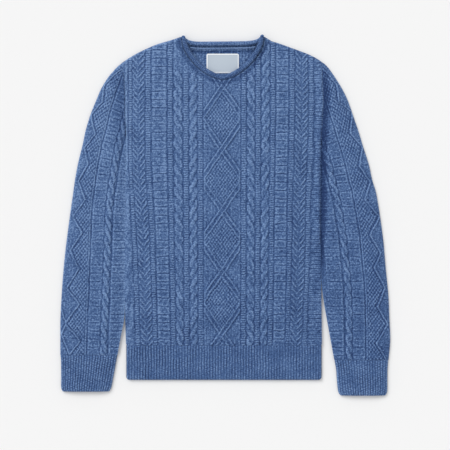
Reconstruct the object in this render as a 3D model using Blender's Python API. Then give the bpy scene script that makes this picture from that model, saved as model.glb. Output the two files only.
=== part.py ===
"""A cable-knit crewneck sweater with a rolled neck, laid flat with its front up.

X runs to the right as seen from above, Y towards the neck and Z up from the surface it lies on. Sizes are
in millimetres, and MM turns them into metres where a mesh is made. Distances across the garment are
measured from the centre line of the front's cables, and heights along it from the middle of the outline.
"""

import math

import bmesh
import bpy
import numpy as np
from mathutils import Matrix, Vector
from mathutils.geometry import delaunay_2d_cdt

MM = 0.001
CENTRE_X = -6.8  # the cables' centre line: the right sleeve is spread a little wider than the left
SEAM_GAP = 0.3  # between two pieces that are linked or sewn together
EDGE_STEP = 12.0  # spacing of the points round an outline
MERGE = 0.01

# Thickness of the cloth and of the stack of layers
BACK_WALL = 3.0
LAYER_GAP = 0.4
FRONT_WALL = 3.0
LIP = 0.8  # what is left of a wall where it meets the other layer at a side seam
BODY_PUFF = 2.8  # how far the front stands off the back in the middle of the body
BODY_PUFF_REACH = 70.0
SLEEVE_WALL = 2.8
SLEEVE_GAP = 0.6
SLEEVE_PUFF = 2.4
SLEEVE_PUFF_REACH = 26.0
SLEEVE_FOLD_HEIGHT = 4.4  # the crease of a sleeve's edge runs at this height

# How an edge is finished: radius of its rounding and how far it sinks there
SIDE_RADIUS = 6.0
SEAM_RADIUS = 4.0
SEAM_SINK = 1.6
FOLD_RADIUS = 7.0

# The edges of the front and back, as distances from the centre line
BODY_ROWS = (
    # height, left, right
    (351.0, 104.0, 99.0),
    (343.0, 136.0, 120.0),
    (327.0, 168.0, 162.0),
    (311.0, 194.0, 194.0),
    (303.0, 202.0, 201.0),
    (285.0, 197.5, 201.0),
    (255.0, 195.0, 202.0),
    (231.0, 194.6, 203.0),
    (201.0, 194.4, 202.0),
    (171.0, 193.0, 200.0),
    (141.0, 192.0, 198.0),
    (81.0, 192.4, 197.5),
    (-39.0, 193.4, 197.0),
    (-169.0, 194.0, 198.5),
    (-260.0, 191.6, 199.4),
)
SHOULDER_ROW = 4  # the row at the shoulder point
ARMPIT_ROW = 10  # the row at the armpit
HEM_SEAM = -260.0
HEM_END = -329.0
HEM_CORNER = 7.0

# The sleeves, as distances from the centre line: the outer fold, the groove that runs down between the
# diamond panel and the ladder, and the inner fold, which follows the armhole above the armpit
SLEEVE_ROWS = {
    "left": (
        # height, outer, groove, inner
        (303.0, 203.0, 200.0, 202.6),
        (291.0, 218.0, 201.0, 199.4),
        (279.0, 228.0, 204.0, 197.4),
        (255.0, 242.0, 212.0, 195.5),
        (231.0, 252.0, 220.0, 195.1),
        (201.0, 264.0, 225.5, 194.9),
        (171.0, 273.0, 230.0, 193.5),
        (141.0, 279.5, 235.4, 192.6),
        (111.0, 287.0, 240.0, 192.9),
        (81.0, 293.0, 245.0, 193.0),
        (47.0, 298.0, 251.0, 193.4),
        (1.0, 304.5, 255.6, 193.8),
        (-69.0, 313.6, 259.0, 194.4),
        (-139.0, 320.0, 262.6, 194.7),
        (-201.0, 323.5, 265.6, 195.6),
        (-233.0, 324.0, 267.2, 201.0),
        (-279.0, 324.0, 269.0, 209.5),
    ),
    "right": (
        (306.0, 203.0, 200.0, 202.6),
        (295.0, 214.0, 202.0, 201.6),
        (279.0, 225.0, 203.0, 201.7),
        (255.0, 240.0, 204.0, 202.5),
        (231.0, 252.0, 213.0, 203.5),
        (199.0, 263.0, 221.0, 202.5),
        (167.0, 274.0, 229.0, 200.4),
        (141.0, 281.7, 234.5, 198.6),
        (103.0, 294.0, 246.0, 198.3),
        (71.0, 301.0, 255.0, 198.2),
        (39.0, 310.0, 263.0, 198.0),
        (-41.0, 322.0, 275.0, 197.7),
        (-105.0, 328.0, 281.6, 198.4),
        (-139.0, 331.4, 284.5, 200.0),
        (-169.0, 334.0, 286.0, 203.4),
        (-205.0, 335.2, 287.0, 209.6),
        (-249.0, 337.0, 287.5, 217.6),
        (-289.0, 333.6, 287.5, 225.0),
    ),
}
SLEEVE_ARMPIT = 141.0
CUFF_ROWS = {
    "left": (
        # height, outer, inner
        (-279.3, 323.6, 209.6),
        (-293.0, 322.6, 212.0),
        (-325.0, 322.4, 218.0),
        (-345.0, 322.2, 222.0),
        (-352.0, 319.5, 226.0),
    ),
    "right": (
        (-289.3, 333.0, 225.2),
        (-309.0, 331.6, 228.6),
        (-329.0, 331.4, 230.0),
        (-352.0, 331.0, 232.6),
        (-360.0, 327.5, 237.0),
    ),
}
CUFF_RIBS = {"left": 22, "right": 21}

# The front's vertical panels, from the centre outwards, at the chest and, drawn in a little, at the waist
CHEST_HEIGHT = 130.0
WAIST_HEIGHT = -169.0
PANEL_COLUMNS = (
    # stitch, chest inner, chest outer, waist inner, waist outer, lean of the crossings
    ("rope", 49.0, 66.0, 48.6, 64.8, -1.1),
    ("rope", 78.5, 97.5, 76.5, 92.5, 1.1),
    ("ladder", 109.5, 136.5, 104.0, 130.0, 0.0),
    ("herringbone", 150.5, 175.0, 140.0, 165.0, 1.1),
)
ROPE_PITCH = 24.4
ROPE_HEIGHT = 2.2
ROPE_GROOVE = 0.5
ROPE_SHOULDER = 0.3  # share of the rope's width, each side of its middle, that the crossings keep
LADDER_PITCH = 16.5
LADDER_HEIGHT = 1.5
LADDER_GROOVE = 0.2
LADDER_START = 231.4  # height of one groove, from which the others are counted
HERRING_PITCH = 12.0
HERRING_HEIGHT = 1.4
HERRING_GROOVE = 0.4

# The diamond lattice down the centre: its half width, and the diamonds' own half size
LATTICE_HALF_WIDTH = 36.5
DIAMOND_HALF_WIDTH = 34.4
DIAMOND_HALF_HEIGHT = 50.0
DIAMOND_PITCH = 122.5
FIRST_DIAMOND = 194.0
STRAND_HEIGHT = 2.0
STRAND_CREST = 0.20  # half width of a strand at its crest and at its foot, as a share of the diamond
STRAND_FOOT = 0.33

# The zigzag on the sleeve's half diamond, the ladders and the rope beside it
ZIGZAG_PITCH = 72.0
ZIGZAG_INNER_TURN = 32.0
ZIGZAG_MIDDLE = 18.0
ZIGZAG_SWING = 12.0
ZIGZAG_HEIGHT = 1.8
ZIGZAG_FOOT = 4.0
ZIGZAG_TOP = 200.0
SLEEVE_COLUMNS = (
    # stitch, from the groove towards the body: start, end
    ("ladder", 2.0, 24.5),
    ("rope", 25.5, 39.0),
    ("ladder", 43.0, 65.0),
)
GROOVE_DEPTH = 0.8
GROOVE_HALF_WIDTH = 2.0
ROW_SLANT = 0.38  # the sleeve's rows slope down towards the body at the top, and level out below
SLANT_TOP = 200.0
SLANT_END = 20.0

RIB_PITCH = 5.6
RIB_HEIGHT = 1.3

# The rolled neckband: its centre line runs round the neck, front over back
NECK_TOP = 354.4
NECK_HALF_WIDTH = 79.4
NECK_DEPTH = 77.0
NECK_SQUARENESS = 1.6
BACK_NECK_HEIGHT = 340.2
BACK_NECK_CURVE = 4.5
ROLL_RADIUS = 5.5
ROLL_WALL = 2.6
ROLL_START = 222.0  # degrees round the roll, from the neck's opening, where the cloth leaves the seam
ROLL_TURN = 330.0
ROLL_OUTER_POINTS = 9
ROLL_INNER_POINTS = 5
FRONT_ROLL_HEIGHT = 10.2
FOLD_BEND = 3.75  # the band turns over at each end of the neck on this radius
FOLD_HEIGHT = 9.4
FOLD_ROLL_RADIUS = 3.4
FOLD_REACH = 14.0
NECK_CLEARANCE = 0.5

LABEL_WIDTH = 65.0
LABEL_HEIGHT = 39.0
LABEL_THICKNESS = 0.8
LABEL_CORNER = 3.0
LABEL_CENTRE = (1.5, 304.5)

WOOL_BLUE = (0.10, 0.16, 0.33, 1.0)
WOOL_ROUGHNESS = 0.95
LABEL_WHITE = (0.82, 0.84, 0.86, 1.0)
LABEL_ROUGHNESS = 0.7


def clear_scene():
    for obj in list(bpy.data.objects):
        bpy.data.objects.remove(obj, do_unlink=True)


def cloth_material(name, colour, roughness):
    material = bpy.data.materials.new(name)
    material.use_nodes = True
    shader = material.node_tree.nodes["Principled BSDF"]
    shader.inputs["Base Color"].default_value = colour
    shader.inputs["Roughness"].default_value = roughness
    shader.inputs["Metallic"].default_value = 0.0
    return material


def smoothstep(share):
    share = np.clip(share, 0.0, 1.0)
    return share * share * (3.0 - 2.0 * share)


def smooth_line(points, step=EDGE_STEP):
    """Points about a step apart on a soft curve through these ones."""
    points = np.array(points, float)
    before = 2 * points[0] - points[1]
    after = 2 * points[-1] - points[-2]
    knots = np.vstack([before, points, after])
    line = []
    for k in range(1, len(knots) - 2):
        a, b, c, d = knots[k - 1 : k + 3]
        count = max(1, round(np.linalg.norm(c - b) / step))
        for t in np.arange(count) / count:
            line.append(
                0.5 * (2 * b + (c - a) * t + (2 * a - 5 * b + 4 * c - d) * t**2 + (3 * b - a - 3 * c + d) * t**3)
            )
    line.append(points[-1])
    return np.array(line)


def straight_line(start, end, step=EDGE_STEP):
    count = max(1, round(math.dist(start, end) / step))
    return np.linspace(start, end, count + 1)


def arc(centre, radius, start, end, count=3):
    """Points round part of a circle, with the angles in degrees."""
    angles = np.radians(np.linspace(start, end, count + 1))
    return np.column_stack([centre[0] + radius * np.cos(angles), centre[1] + radius * np.sin(angles)])


def side_line(rows, column, side):
    """The rows' points on one side of the garment, with side -1 for left and 1 for right."""
    return [(CENTRE_X + side * row[column], row[0]) for row in rows]


def across_at(rows, column, height):
    """A table's distance from the centre line at these heights."""
    ordered = sorted(rows)
    return np.interp(height, [row[0] for row in ordered], [row[column] for row in ordered])


def distance_to(points, line):
    """How far each point lies from a line of straight steps."""
    points = np.atleast_2d(points)
    starts, runs = line[:-1], np.diff(line, axis=0)
    offsets = points[:, None, :] - starts[None]
    share = (offsets * runs).sum(2) / np.maximum((runs**2).sum(1), 1e-12)
    nearest = offsets - np.clip(share, 0, 1)[..., None] * runs
    return np.sqrt((nearest**2).sum(2)).min(1)


def inset_line(line, by):
    """A line moved to its left, which is inwards on an outline that runs anticlockwise."""
    runs = np.gradient(line, axis=0)
    lefts = np.column_stack([-runs[:, 1], runs[:, 0]])
    return line + by * lefts / np.linalg.norm(lefts, axis=1)[:, None]


class Region:
    """A piece's flat outline, anticlockwise, as stretches that are each folded, rolled, seamed or open."""

    def __init__(self, stretches):
        self.stretches = [(finish, np.array(line, float)) for finish, line in stretches]
        self.outline = np.vstack([line[:-1] for _, line in self.stretches])
        self.closed_outline = np.vstack([self.outline, self.outline[:1]])

    def inside(self, points):
        x, y = np.atleast_2d(points).T
        x1, y1 = self.outline.T
        x2, y2 = np.roll(self.outline, -1, axis=0).T
        spans = (y1 > y[:, None]) != (y2 > y[:, None])
        rise = np.where(y2 == y1, 1.0, y2 - y1)
        crossing = x1 + (y[:, None] - y1) * (x2 - x1) / rise
        return (spans & (x[:, None] < crossing)).sum(1) % 2 == 1

    def kept(self, line, margin):
        """The runs of a line's points that lie inside by a margin."""
        line = np.atleast_2d(line)
        good = self.inside(line) & (distance_to(line, self.closed_outline) > margin)
        runs, run = [], []
        for point, keep in zip(line, good):
            if keep:
                run.append(point)
            elif run:
                runs.append(run)
                run = []
        if run:
            runs.append(run)
        return runs

    def edge_marks(self):
        """Lines along the finished edges, where their rounding starts and bends."""
        marks = []
        for finish, line in self.stretches:
            radius = {"rolled": SIDE_RADIUS, "fold": FOLD_RADIUS}.get(finish, SEAM_RADIUS)
            shares = (0.3, 1.0) if finish in ("rolled", "fold") else (1.0,)
            for share in shares:
                by = radius * share
                marks += self.kept(inset_line(line, by), 0.8 * by)
        return marks

    def rounding(self, points, finishes, radius):
        """1 at the named edges, falling along a quarter circle to 0 a radius inside them."""
        most = np.zeros(len(points))
        for finish, line in self.stretches:
            if finish in finishes:
                rest = 1.0 - np.clip(distance_to(points, line) / radius, 0, 1)
                most = np.maximum(most, 1.0 - np.sqrt(1.0 - rest**2))
        return most

    def reach(self, points, finishes):
        """Distance from the nearest of the named edges."""
        lines = [line for finish, line in self.stretches if finish in finishes]
        return np.min([distance_to(points, line) for line in lines], axis=0)


def triangulate(outline, marks):
    """Points, triangles and the outline's places among the points, with the marks as edges."""
    points = [Vector(point) for point in outline]
    edges = [(k, (k + 1) % len(outline)) for k in range(len(outline))]
    for line in marks:
        first = len(points)
        points += [Vector(point) for point in line]
        edges += [(first + k, first + k + 1) for k in range(len(line) - 1)]
    found = delaunay_2d_cdt(points, edges, [], 1, MERGE)
    places = {old: new for new, olds in enumerate(found[3]) for old in olds}
    border = [places[k] for k in range(len(outline))]
    flat = np.array(found[0], float)
    flat[border] = outline
    return flat, found[2], border


def add_skin(mesh, outline, marks, height_of):
    """Adds one surface to a bmesh, and gives its vertices round the outline."""
    points, faces, border = triangulate(outline, marks)
    heights = height_of(points)
    verts = [mesh.verts.new((x * MM, y * MM, z * MM)) for (x, y), z in zip(points, heights)]
    for face in faces:
        mesh.faces.new([verts[k] for k in face])
    return [verts[k] for k in border]


def join_borders(mesh, upper, lower, closed=True):
    count = len(upper)
    for k in range(count if closed else count - 1):
        n = (k + 1) % count
        corners = [upper[k], upper[n], lower[n], lower[k]]
        mesh.faces.new([c for i, c in enumerate(corners) if c not in corners[:i]])


def finish_object(name, mesh, material, collection):
    bmesh.ops.recalc_face_normals(mesh, faces=mesh.faces)
    data = bpy.data.meshes.new(name)
    mesh.to_mesh(data)
    mesh.free()
    data.materials.append(material)
    obj = bpy.data.objects.new(name, data)
    collection.objects.link(obj)
    return obj


def grid_marks(region, step, margin):
    """Single points on a square grid, for a plain surface that is only softly curved."""
    low, high = region.outline.min(0), region.outline.max(0)
    marks = []
    for x in np.arange(low[0] + step / 2, high[0], step):
        for y in np.arange(low[1] + step / 2, high[1], step):
            marks += region.kept([(x, y)], margin)
    return marks


def panel_solid(name, region, marks, top, inner_step, bottom, material, collection):
    """A wall of cloth: an outer surface with its raised stitches over a plain inner one."""
    mesh = bmesh.new()
    upper = add_skin(mesh, region.outline, region.edge_marks() + marks, top)
    plain = grid_marks(region, inner_step, 0.3 * inner_step) if inner_step else region.edge_marks()
    lower = add_skin(mesh, region.outline, plain, bottom)
    join_borders(mesh, upper, lower)
    return finish_object(name, mesh, material, collection)


def knot_phase(along, across, lean, pitch, start):
    return (along - lean * across - start) / pitch


def rope_relief(across, along, width, lean):
    """Height of a rope's crossings over the ground."""
    swell = 0.5 + 0.5 * np.cos(2 * np.pi * knot_phase(along, across, lean, ROPE_PITCH, 0.0))
    crown = np.clip(1.0 - np.abs(2 * across / width) ** 4, 0, 1)
    return crown * (ROPE_GROOVE + (ROPE_HEIGHT - ROPE_GROOVE) * swell)


def ladder_relief(across, along, width):
    """Height of a ladder's bars: flat-topped, with a groove between each two."""
    phase = (along - LADDER_START) / LADDER_PITCH
    from_groove = np.abs(phase - np.round(phase))
    bar = LADDER_GROOVE + (LADDER_HEIGHT - LADDER_GROOVE) * np.clip(from_groove / 0.28, 0, 1)
    return bar * np.clip((width / 2 - np.abs(across)) / 1.5, 0, 1)


def herring_relief(across, along, width, lean):
    """Height of a herringbone's strokes, which climb outwards from the column's middle."""
    phase = knot_phase(along, np.abs(across), lean, HERRING_PITCH, 0.0)
    swell = 0.5 + 0.5 * np.cos(2 * np.pi * phase)
    crown = np.clip(1.0 - np.abs(2 * across / width) ** 6, 0, 1)
    return crown * (HERRING_GROOVE + (HERRING_HEIGHT - HERRING_GROOVE) * swell)


def strand_relief(place):
    """Height of the lattice strands that cross a slanting scale, a strand's middle at each odd diamond."""
    period = DIAMOND_PITCH / DIAMOND_HALF_HEIGHT
    off = np.abs((place + period / 2) % period - period / 2)
    return STRAND_HEIGHT * np.clip((STRAND_FOOT - off) / (STRAND_FOOT - STRAND_CREST), 0, 1)


def lattice_scales(across, along):
    """The two slanting scales of the lattice, 0 along the middle of a strand."""
    up = (along - FIRST_DIAMOND + DIAMOND_PITCH / 2) / DIAMOND_HALF_HEIGHT
    slope = across / DIAMOND_HALF_WIDTH
    return up - slope, up + slope


def lattice_relief(across, along):
    rising, falling = lattice_scales(across, along)
    height = np.maximum(strand_relief(rising), strand_relief(falling))
    return np.where(np.abs(across) <= LATTICE_HALF_WIDTH + 0.1, height, 0.0)


def column_edges(column, height):
    """A front column's inner and outer distances from the centre line at this height."""
    _, chest_in, chest_out, waist_in, waist_out, _ = column
    drawn_in = np.clip((CHEST_HEIGHT - height) / (CHEST_HEIGHT - WAIST_HEIGHT), 0, 1.3)
    return chest_in + drawn_in * (waist_in - chest_in), chest_out + drawn_in * (waist_out - chest_out)


def front_relief(points):
    """Height of all the front's stitches over the plain ground."""
    along = points[:, 1]
    off_centre = points[:, 0] - CENTRE_X
    height = lattice_relief(off_centre, along)
    for column in PANEL_COLUMNS:
        stitch, lean = column[0], column[5]
        inner, outer = column_edges(column, along)
        across, width = np.abs(off_centre) - (inner + outer) / 2, outer - inner
        if stitch == "rope":
            raised = rope_relief(across, along, width, lean)
        elif stitch == "ladder":
            raised = ladder_relief(across, along, width)
        else:
            raised = herring_relief(across, along, width, lean)
        height = np.maximum(height, raised)
    return height


def rope_lines(width, lean, low, high):
    """A rope's crests, grooves and side lines, as (across, along) points."""
    count = math.ceil((high - low) / ROPE_PITCH)
    first = math.floor(low / ROPE_PITCH)
    turns = [(first + k / 2) * ROPE_PITCH for k in range(2 * count + 3)]
    lines = [[(s * ROPE_SHOULDER * width, y + lean * s * ROPE_SHOULDER * width) for s in (-1, 1)] for y in turns]
    for side in (-0.5, 0.5):
        lines.append([(side * width, y + lean * side * width) for y in turns])
    return lines


def ladder_lines(width, low, high):
    """A ladder's bar edges, grooves and side lines."""
    first = math.floor((low - LADDER_START) / LADDER_PITCH)
    count = math.ceil((high - low) / LADDER_PITCH)
    grooves = [LADDER_START + (first + k) * LADDER_PITCH for k in range(count + 2)]
    reach = width / 2 - 1.5
    lines = []
    for y in grooves:
        for part in (0.0, 0.28, 0.72):
            lines.append([(-reach, y + part * LADDER_PITCH), (reach, y + part * LADDER_PITCH)])
    for side in (-0.5, 0.5):
        lines.append([(side * width, y) for y in grooves])
    return lines


def herring_lines(width, lean, low, high):
    """A herringbone's strokes, each from its middle line outwards, and its side lines."""
    first = math.floor(low / HERRING_PITCH)
    count = math.ceil((high - low) / HERRING_PITCH)
    turns = [(first + k / 2) * HERRING_PITCH for k in range(2 * count + 3)]
    reach = 0.4 * width
    lines = [[(-reach, y + lean * reach), (0.0, y), (reach, y + lean * reach)] for y in turns]
    for side in (-0.5, 0.5):
        lines.append([(side * width, y + lean * width / 2) for y in turns[::2]])
    return lines


def lattice_lines(low, high):
    """The crests and feet of the lattice strands, each straight across the centre panel."""
    period = DIAMOND_PITCH / DIAMOND_HALF_HEIGHT
    lines = []
    for scale, slant in ((0, 1), (1, -1)):
        ends = [lattice_scales(np.array(x), np.array(y))[scale] for x in (-30.0, 30.0) for y in (low, high)]
        for n in range(math.floor(min(ends) / period) - 1, math.ceil(max(ends) / period) + 2):
            for off in (-STRAND_FOOT, -STRAND_CREST, STRAND_CREST, STRAND_FOOT):
                place = n * period + off
                line = []
                for x in np.linspace(-LATTICE_HALF_WIDTH, LATTICE_HALF_WIDTH, 7):
                    up = place + slant * x / DIAMOND_HALF_WIDTH
                    line.append((x, FIRST_DIAMOND - DIAMOND_PITCH / 2 + up * DIAMOND_HALF_HEIGHT))
                lines.append(line)
    return lines


def front_marks(region, low, high):
    """The lines of the front's stitches, kept inside its edges."""
    marks = []
    margin = SEAM_RADIUS + 1.0
    for line in lattice_lines(low, high):
        marks += region.kept([(CENTRE_X + x, y) for x, y in line], margin)
    for column in PANEL_COLUMNS:
        stitch, lean = column[0], column[5]
        width = column[2] - column[1]
        if stitch == "rope":
            lines = rope_lines(width, lean, low, high)
        elif stitch == "ladder":
            lines = ladder_lines(width, low, high)
        else:
            lines = herring_lines(width, lean, low, high)
        for line in lines:
            for side in (-1, 1):
                placed = []
                for across, along in line:
                    inner, outer = column_edges(column, along)
                    share = across / width
                    place = (inner + outer) / 2 + share * (outer - inner)
                    placed.append((CENTRE_X + side * place, along))
                marks += region.kept(placed, margin)
    return marks


def body_puff(region, points):
    reach = region.reach(points, ("rolled", "armhole"))
    return BODY_PUFF * smoothstep(reach / BODY_PUFF_REACH)


def roll_radius(line):
    """The rolled band's radius at points of its centre line: it thins towards the neck's two ends."""
    near_end = np.minimum(*(np.linalg.norm(line - line[k], axis=1) for k in (0, -1)))
    return FOLD_ROLL_RADIUS + (ROLL_RADIUS - FOLD_ROLL_RADIUS) * smoothstep(near_end / FOLD_REACH)


def neck_edge(line):
    """A panel's neckline, just clear of the rolled band."""
    return inset_line(line, (roll_radius(line) + NECK_CLEARANCE)[:, None])


def neck_front_line(count=24):
    """The centre line of the rolled band over the front, from the right end to the left."""
    angles = np.linspace(0, np.pi, count + 1)
    power = 2.0 / NECK_SQUARENESS
    x = np.sign(np.cos(angles)) * np.abs(np.cos(angles)) ** power
    y = np.sin(angles) ** power
    return np.column_stack([CENTRE_X + NECK_HALF_WIDTH * x, NECK_TOP - NECK_DEPTH * y])


def neck_back_line(count=14):
    """The centre line of the rolled band over the back, from the right end to the left."""
    x = np.linspace(1, -1, count + 1)
    y = BACK_NECK_HEIGHT + (NECK_TOP - BACK_NECK_HEIGHT) * np.abs(x) ** BACK_NECK_CURVE
    return np.column_stack([CENTRE_X + NECK_HALF_WIDTH * x, y])


def body_region(neckline):
    """The outline that the front and the back share, but for the neckline."""
    sides = {side: side_line(BODY_ROWS, column, side) for side, column in ((-1, 1), (1, 2))}
    right, left = sides[1], sides[-1]
    top = HEM_SEAM + SEAM_GAP
    right[-1], left[-1] = (right[-1][0], top), (left[-1][0], top)
    right_neck, left_neck = tuple(neckline[0]), tuple(neckline[-1])
    return Region(
        [
            ("seam", straight_line(left[-1], right[-1])),
            ("rolled", smooth_line(right[ARMPIT_ROW:][::-1])),
            ("armhole", smooth_line(right[SHOULDER_ROW : ARMPIT_ROW + 1][::-1])),
            ("rolled", smooth_line(right[: SHOULDER_ROW + 1][::-1] + [right_neck])),
            ("seam", neckline),
            ("rolled", smooth_line([left_neck] + left[: SHOULDER_ROW + 1])),
            ("armhole", smooth_line(left[SHOULDER_ROW : ARMPIT_ROW + 1])),
            ("rolled", smooth_line(left[ARMPIT_ROW:])),
        ]
    )


def hem_region():
    left, right = CENTRE_X - BODY_ROWS[-1][1], CENTRE_X + BODY_ROWS[-1][2]
    low = HEM_END + HEM_CORNER
    bottom = np.vstack(
        [
            arc((left + HEM_CORNER, low), HEM_CORNER, 180, 270),
            straight_line((left + HEM_CORNER, HEM_END), (right - HEM_CORNER, HEM_END))[1:-1],
            arc((right - HEM_CORNER, low), HEM_CORNER, 270, 360),
        ]
    )
    return Region(
        [
            ("seam", bottom),
            ("rolled", straight_line((right, low), (right, HEM_SEAM))),
            ("seam", straight_line((right, HEM_SEAM), (left, HEM_SEAM))),
            ("rolled", straight_line((left, HEM_SEAM), (left, low))),
        ]
    )


def layer_top(region, points, floor, relief):
    """Height of a panel's outer surface, rounded off at its edges."""
    inside = np.clip((region.reach(points, ("rolled", "seam", "armhole")) - SEAM_RADIUS) / 3.0, 0, 1)
    full = floor + FRONT_WALL + relief * inside
    lip = BACK_WALL + LAYER_GAP + LIP
    at_side = region.rounding(points, ("rolled",), SIDE_RADIUS)
    at_seam = region.rounding(points, ("seam", "armhole"), SEAM_RADIUS)
    return np.minimum(full - (full - lip) * at_side, full - SEAM_SINK * at_seam)


def make_front(material, collection):
    region = body_region(neck_edge(neck_front_line()))
    floor = BACK_WALL + LAYER_GAP

    def inner(points):
        return floor + body_puff(region, points)

    def outer(points):
        return layer_top(region, points, inner(points), front_relief(points))

    marks = front_marks(region, HEM_SEAM, NECK_TOP)
    return panel_solid("front_panel", region, marks, outer, 45.0, inner, material, collection)


def make_back(material, collection):
    region = body_region(neck_edge(neck_back_line()))

    def inner(points):
        return np.full(len(points), BACK_WALL)

    def outer(points):
        return (BACK_WALL - LIP) * region.rounding(points, ("rolled",), SIDE_RADIUS)

    mesh = bmesh.new()
    upper = add_skin(mesh, region.outline, [], inner)
    lower = add_skin(mesh, region.outline, region.edge_marks(), outer)
    join_borders(mesh, upper, lower)
    return finish_object("back_panel", mesh, material, collection)


def rib_lines(left_of, right_of, low, high, ribs):
    """Crest and groove lines of a rib, fanned between its two side lines."""
    lines = []
    for k in range(1, 2 * ribs):
        share = k / (2 * ribs)
        line = []
        for y in (low, high):
            line.append((left_of(y) + share * (right_of(y) - left_of(y)), y))
        lines.append(line)
    return lines


def rib_relief(share, ribs):
    return RIB_HEIGHT * (0.5 - 0.5 * np.cos(2 * np.pi * share * ribs))


def make_front_hem(material, collection):
    region = hem_region()
    low_x, high_x = region.outline[:, 0].min(), region.outline[:, 0].max()
    ribs = round((high_x - low_x) / RIB_PITCH)
    floor = BACK_WALL + LAYER_GAP

    def inner(points):
        return np.full(len(points), floor)

    def outer(points):
        relief = rib_relief((points[:, 0] - low_x) / (high_x - low_x), ribs)
        return layer_top(region, points, floor, relief)

    margin = SEAM_RADIUS + 3.0
    lines = rib_lines(lambda y: low_x, lambda y: high_x, HEM_END + margin, HEM_SEAM - margin, ribs)
    marks = [run for line in lines for run in region.kept(line, margin - 0.1)]
    return panel_solid("hem_rib_front", region, marks, outer, 60.0, inner, material, collection)


def make_back_hem(material, collection):
    region = hem_region()
    mesh = bmesh.new()
    upper = add_skin(mesh, region.outline, [], lambda points: np.full(len(points), BACK_WALL))
    lower = add_skin(
        mesh,
        region.outline,
        region.edge_marks(),
        lambda points: (BACK_WALL - LIP) * region.rounding(points, ("rolled",), SIDE_RADIUS),
    )
    join_borders(mesh, upper, lower)
    return finish_object("hem_rib_back", mesh, material, collection)


def inner_outline(region, wall):
    """The outline of a flat tube's hollow: folds moved in by the wall, open ends drawn in along themselves."""
    lines = []
    for finish, line in region.stretches:
        if finish == "fold":
            lines.append(inset_line(line, wall))
            continue
        runs = np.linalg.norm(np.diff(line, axis=0), axis=1)
        walked = np.concatenate([[0.0], np.cumsum(runs)])
        ends = 1.5 * wall
        places = ends + walked / walked[-1] * (walked[-1] - 2 * ends)
        lines.append(np.column_stack([np.interp(places, walked, line[:, k]) for k in (0, 1)]))
    for k, (finish, _) in enumerate(region.stretches):
        if finish == "fold":
            lines[k][0] = lines[k - 1][-1]
            lines[k][-1] = lines[(k + 1) % len(lines)][0]
    return Region([(finish, line) for (finish, _), line in zip(region.stretches, lines)])


def tube_solid(name, region, marks, relief_of, material, collection):
    """A flattened tube of cloth, open at the ends, with its stitches raised on the upper side."""
    hollow = inner_outline(region, SLEEVE_WALL)
    ceiling = SLEEVE_WALL + SLEEVE_GAP

    def lifted(points):
        return SLEEVE_PUFF * smoothstep(region.reach(points, ("fold",)) / SLEEVE_PUFF_REACH)

    def rounded(shape, points, level, radius):
        share = shape.rounding(points, ("fold",), radius)
        return level + (SLEEVE_FOLD_HEIGHT - level) * share

    def outer_top(points):
        inside = np.clip((region.reach(points, ("fold", "open")) - SEAM_RADIUS) / 3.0, 0, 1)
        level = ceiling + lifted(points) + SLEEVE_WALL + relief_of(points) * inside
        sunk = level - SEAM_SINK * region.rounding(points, ("open",), SEAM_RADIUS)
        return rounded(region, points, sunk, FOLD_RADIUS)

    def outer_bottom(points):
        return rounded(region, points, 0.0, FOLD_RADIUS)

    def inner_top(points):
        sunk = ceiling + lifted(points) - 0.5 * SEAM_SINK * region.rounding(points, ("open",), SEAM_RADIUS)
        return rounded(hollow, points, np.maximum(sunk, ceiling), FOLD_RADIUS - SLEEVE_WALL)

    def inner_bottom(points):
        return rounded(hollow, points, SLEEVE_WALL, FOLD_RADIUS - SLEEVE_WALL)

    mesh = bmesh.new()
    plain = grid_marks(hollow, 40.0, 10.0)
    hollow_edges = []
    for finish, line in hollow.stretches:
        if finish == "fold":
            hollow_edges += hollow.kept(inset_line(line, FOLD_RADIUS - SLEEVE_WALL), 2.0)
    borders = [
        add_skin(mesh, region.outline, region.edge_marks() + marks, outer_top),
        add_skin(mesh, region.outline, region.edge_marks(), outer_bottom),
        add_skin(mesh, hollow.outline, hollow_edges + plain, inner_top),
        add_skin(mesh, hollow.outline, hollow_edges, inner_bottom),
    ]
    first = 0
    for finish, line in region.stretches:
        count = len(line)
        if finish == "open":
            places = [(first + k) % len(region.outline) for k in range(count)]
            for skin, lining in ((0, 2), (1, 3)):
                join_borders(mesh, [borders[skin][k] for k in places], [borders[lining][k] for k in places], False)
        first += count - 1
    bmesh.ops.remove_doubles(mesh, verts=mesh.verts, dist=MERGE * MM)
    return finish_object(name, mesh, material, collection)


def sleeve_region(side_name, side):
    """The sleeve's flat outline: outer fold, armhole, inner fold and the seam above the cuff."""
    rows = SLEEVE_ROWS[side_name]
    outer = side_line(rows, 1, side)
    inner = side_line(rows, 3, side)
    armpit = [row[0] for row in rows].index(SLEEVE_ARMPIT)
    outer[0] = inner[0]
    stretches = [
        ("open", straight_line(outer[-1], inner[-1])),
        ("fold", smooth_line(inner[armpit:][::-1])),
        ("open", smooth_line(inner[: armpit + 1][::-1])),
        ("fold", smooth_line(outer)),
    ]
    if side > 0:
        stretches = [(finish, np.array(line)[::-1]) for finish, line in stretches[::-1]]
    return Region(stretches)


def row_slant(height):
    return ROW_SLANT * np.clip((height - SLANT_END) / (SLANT_TOP - SLANT_END), 0, 1)


def zigzag_place(height):
    """Distance of the zigzag from the outer fold at this height."""
    turn = (height - ZIGZAG_INNER_TURN) / ZIGZAG_PITCH
    sway = 1.0 - 4.0 * np.abs(turn - np.round(turn))
    return ZIGZAG_MIDDLE + ZIGZAG_SWING * sway


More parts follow.
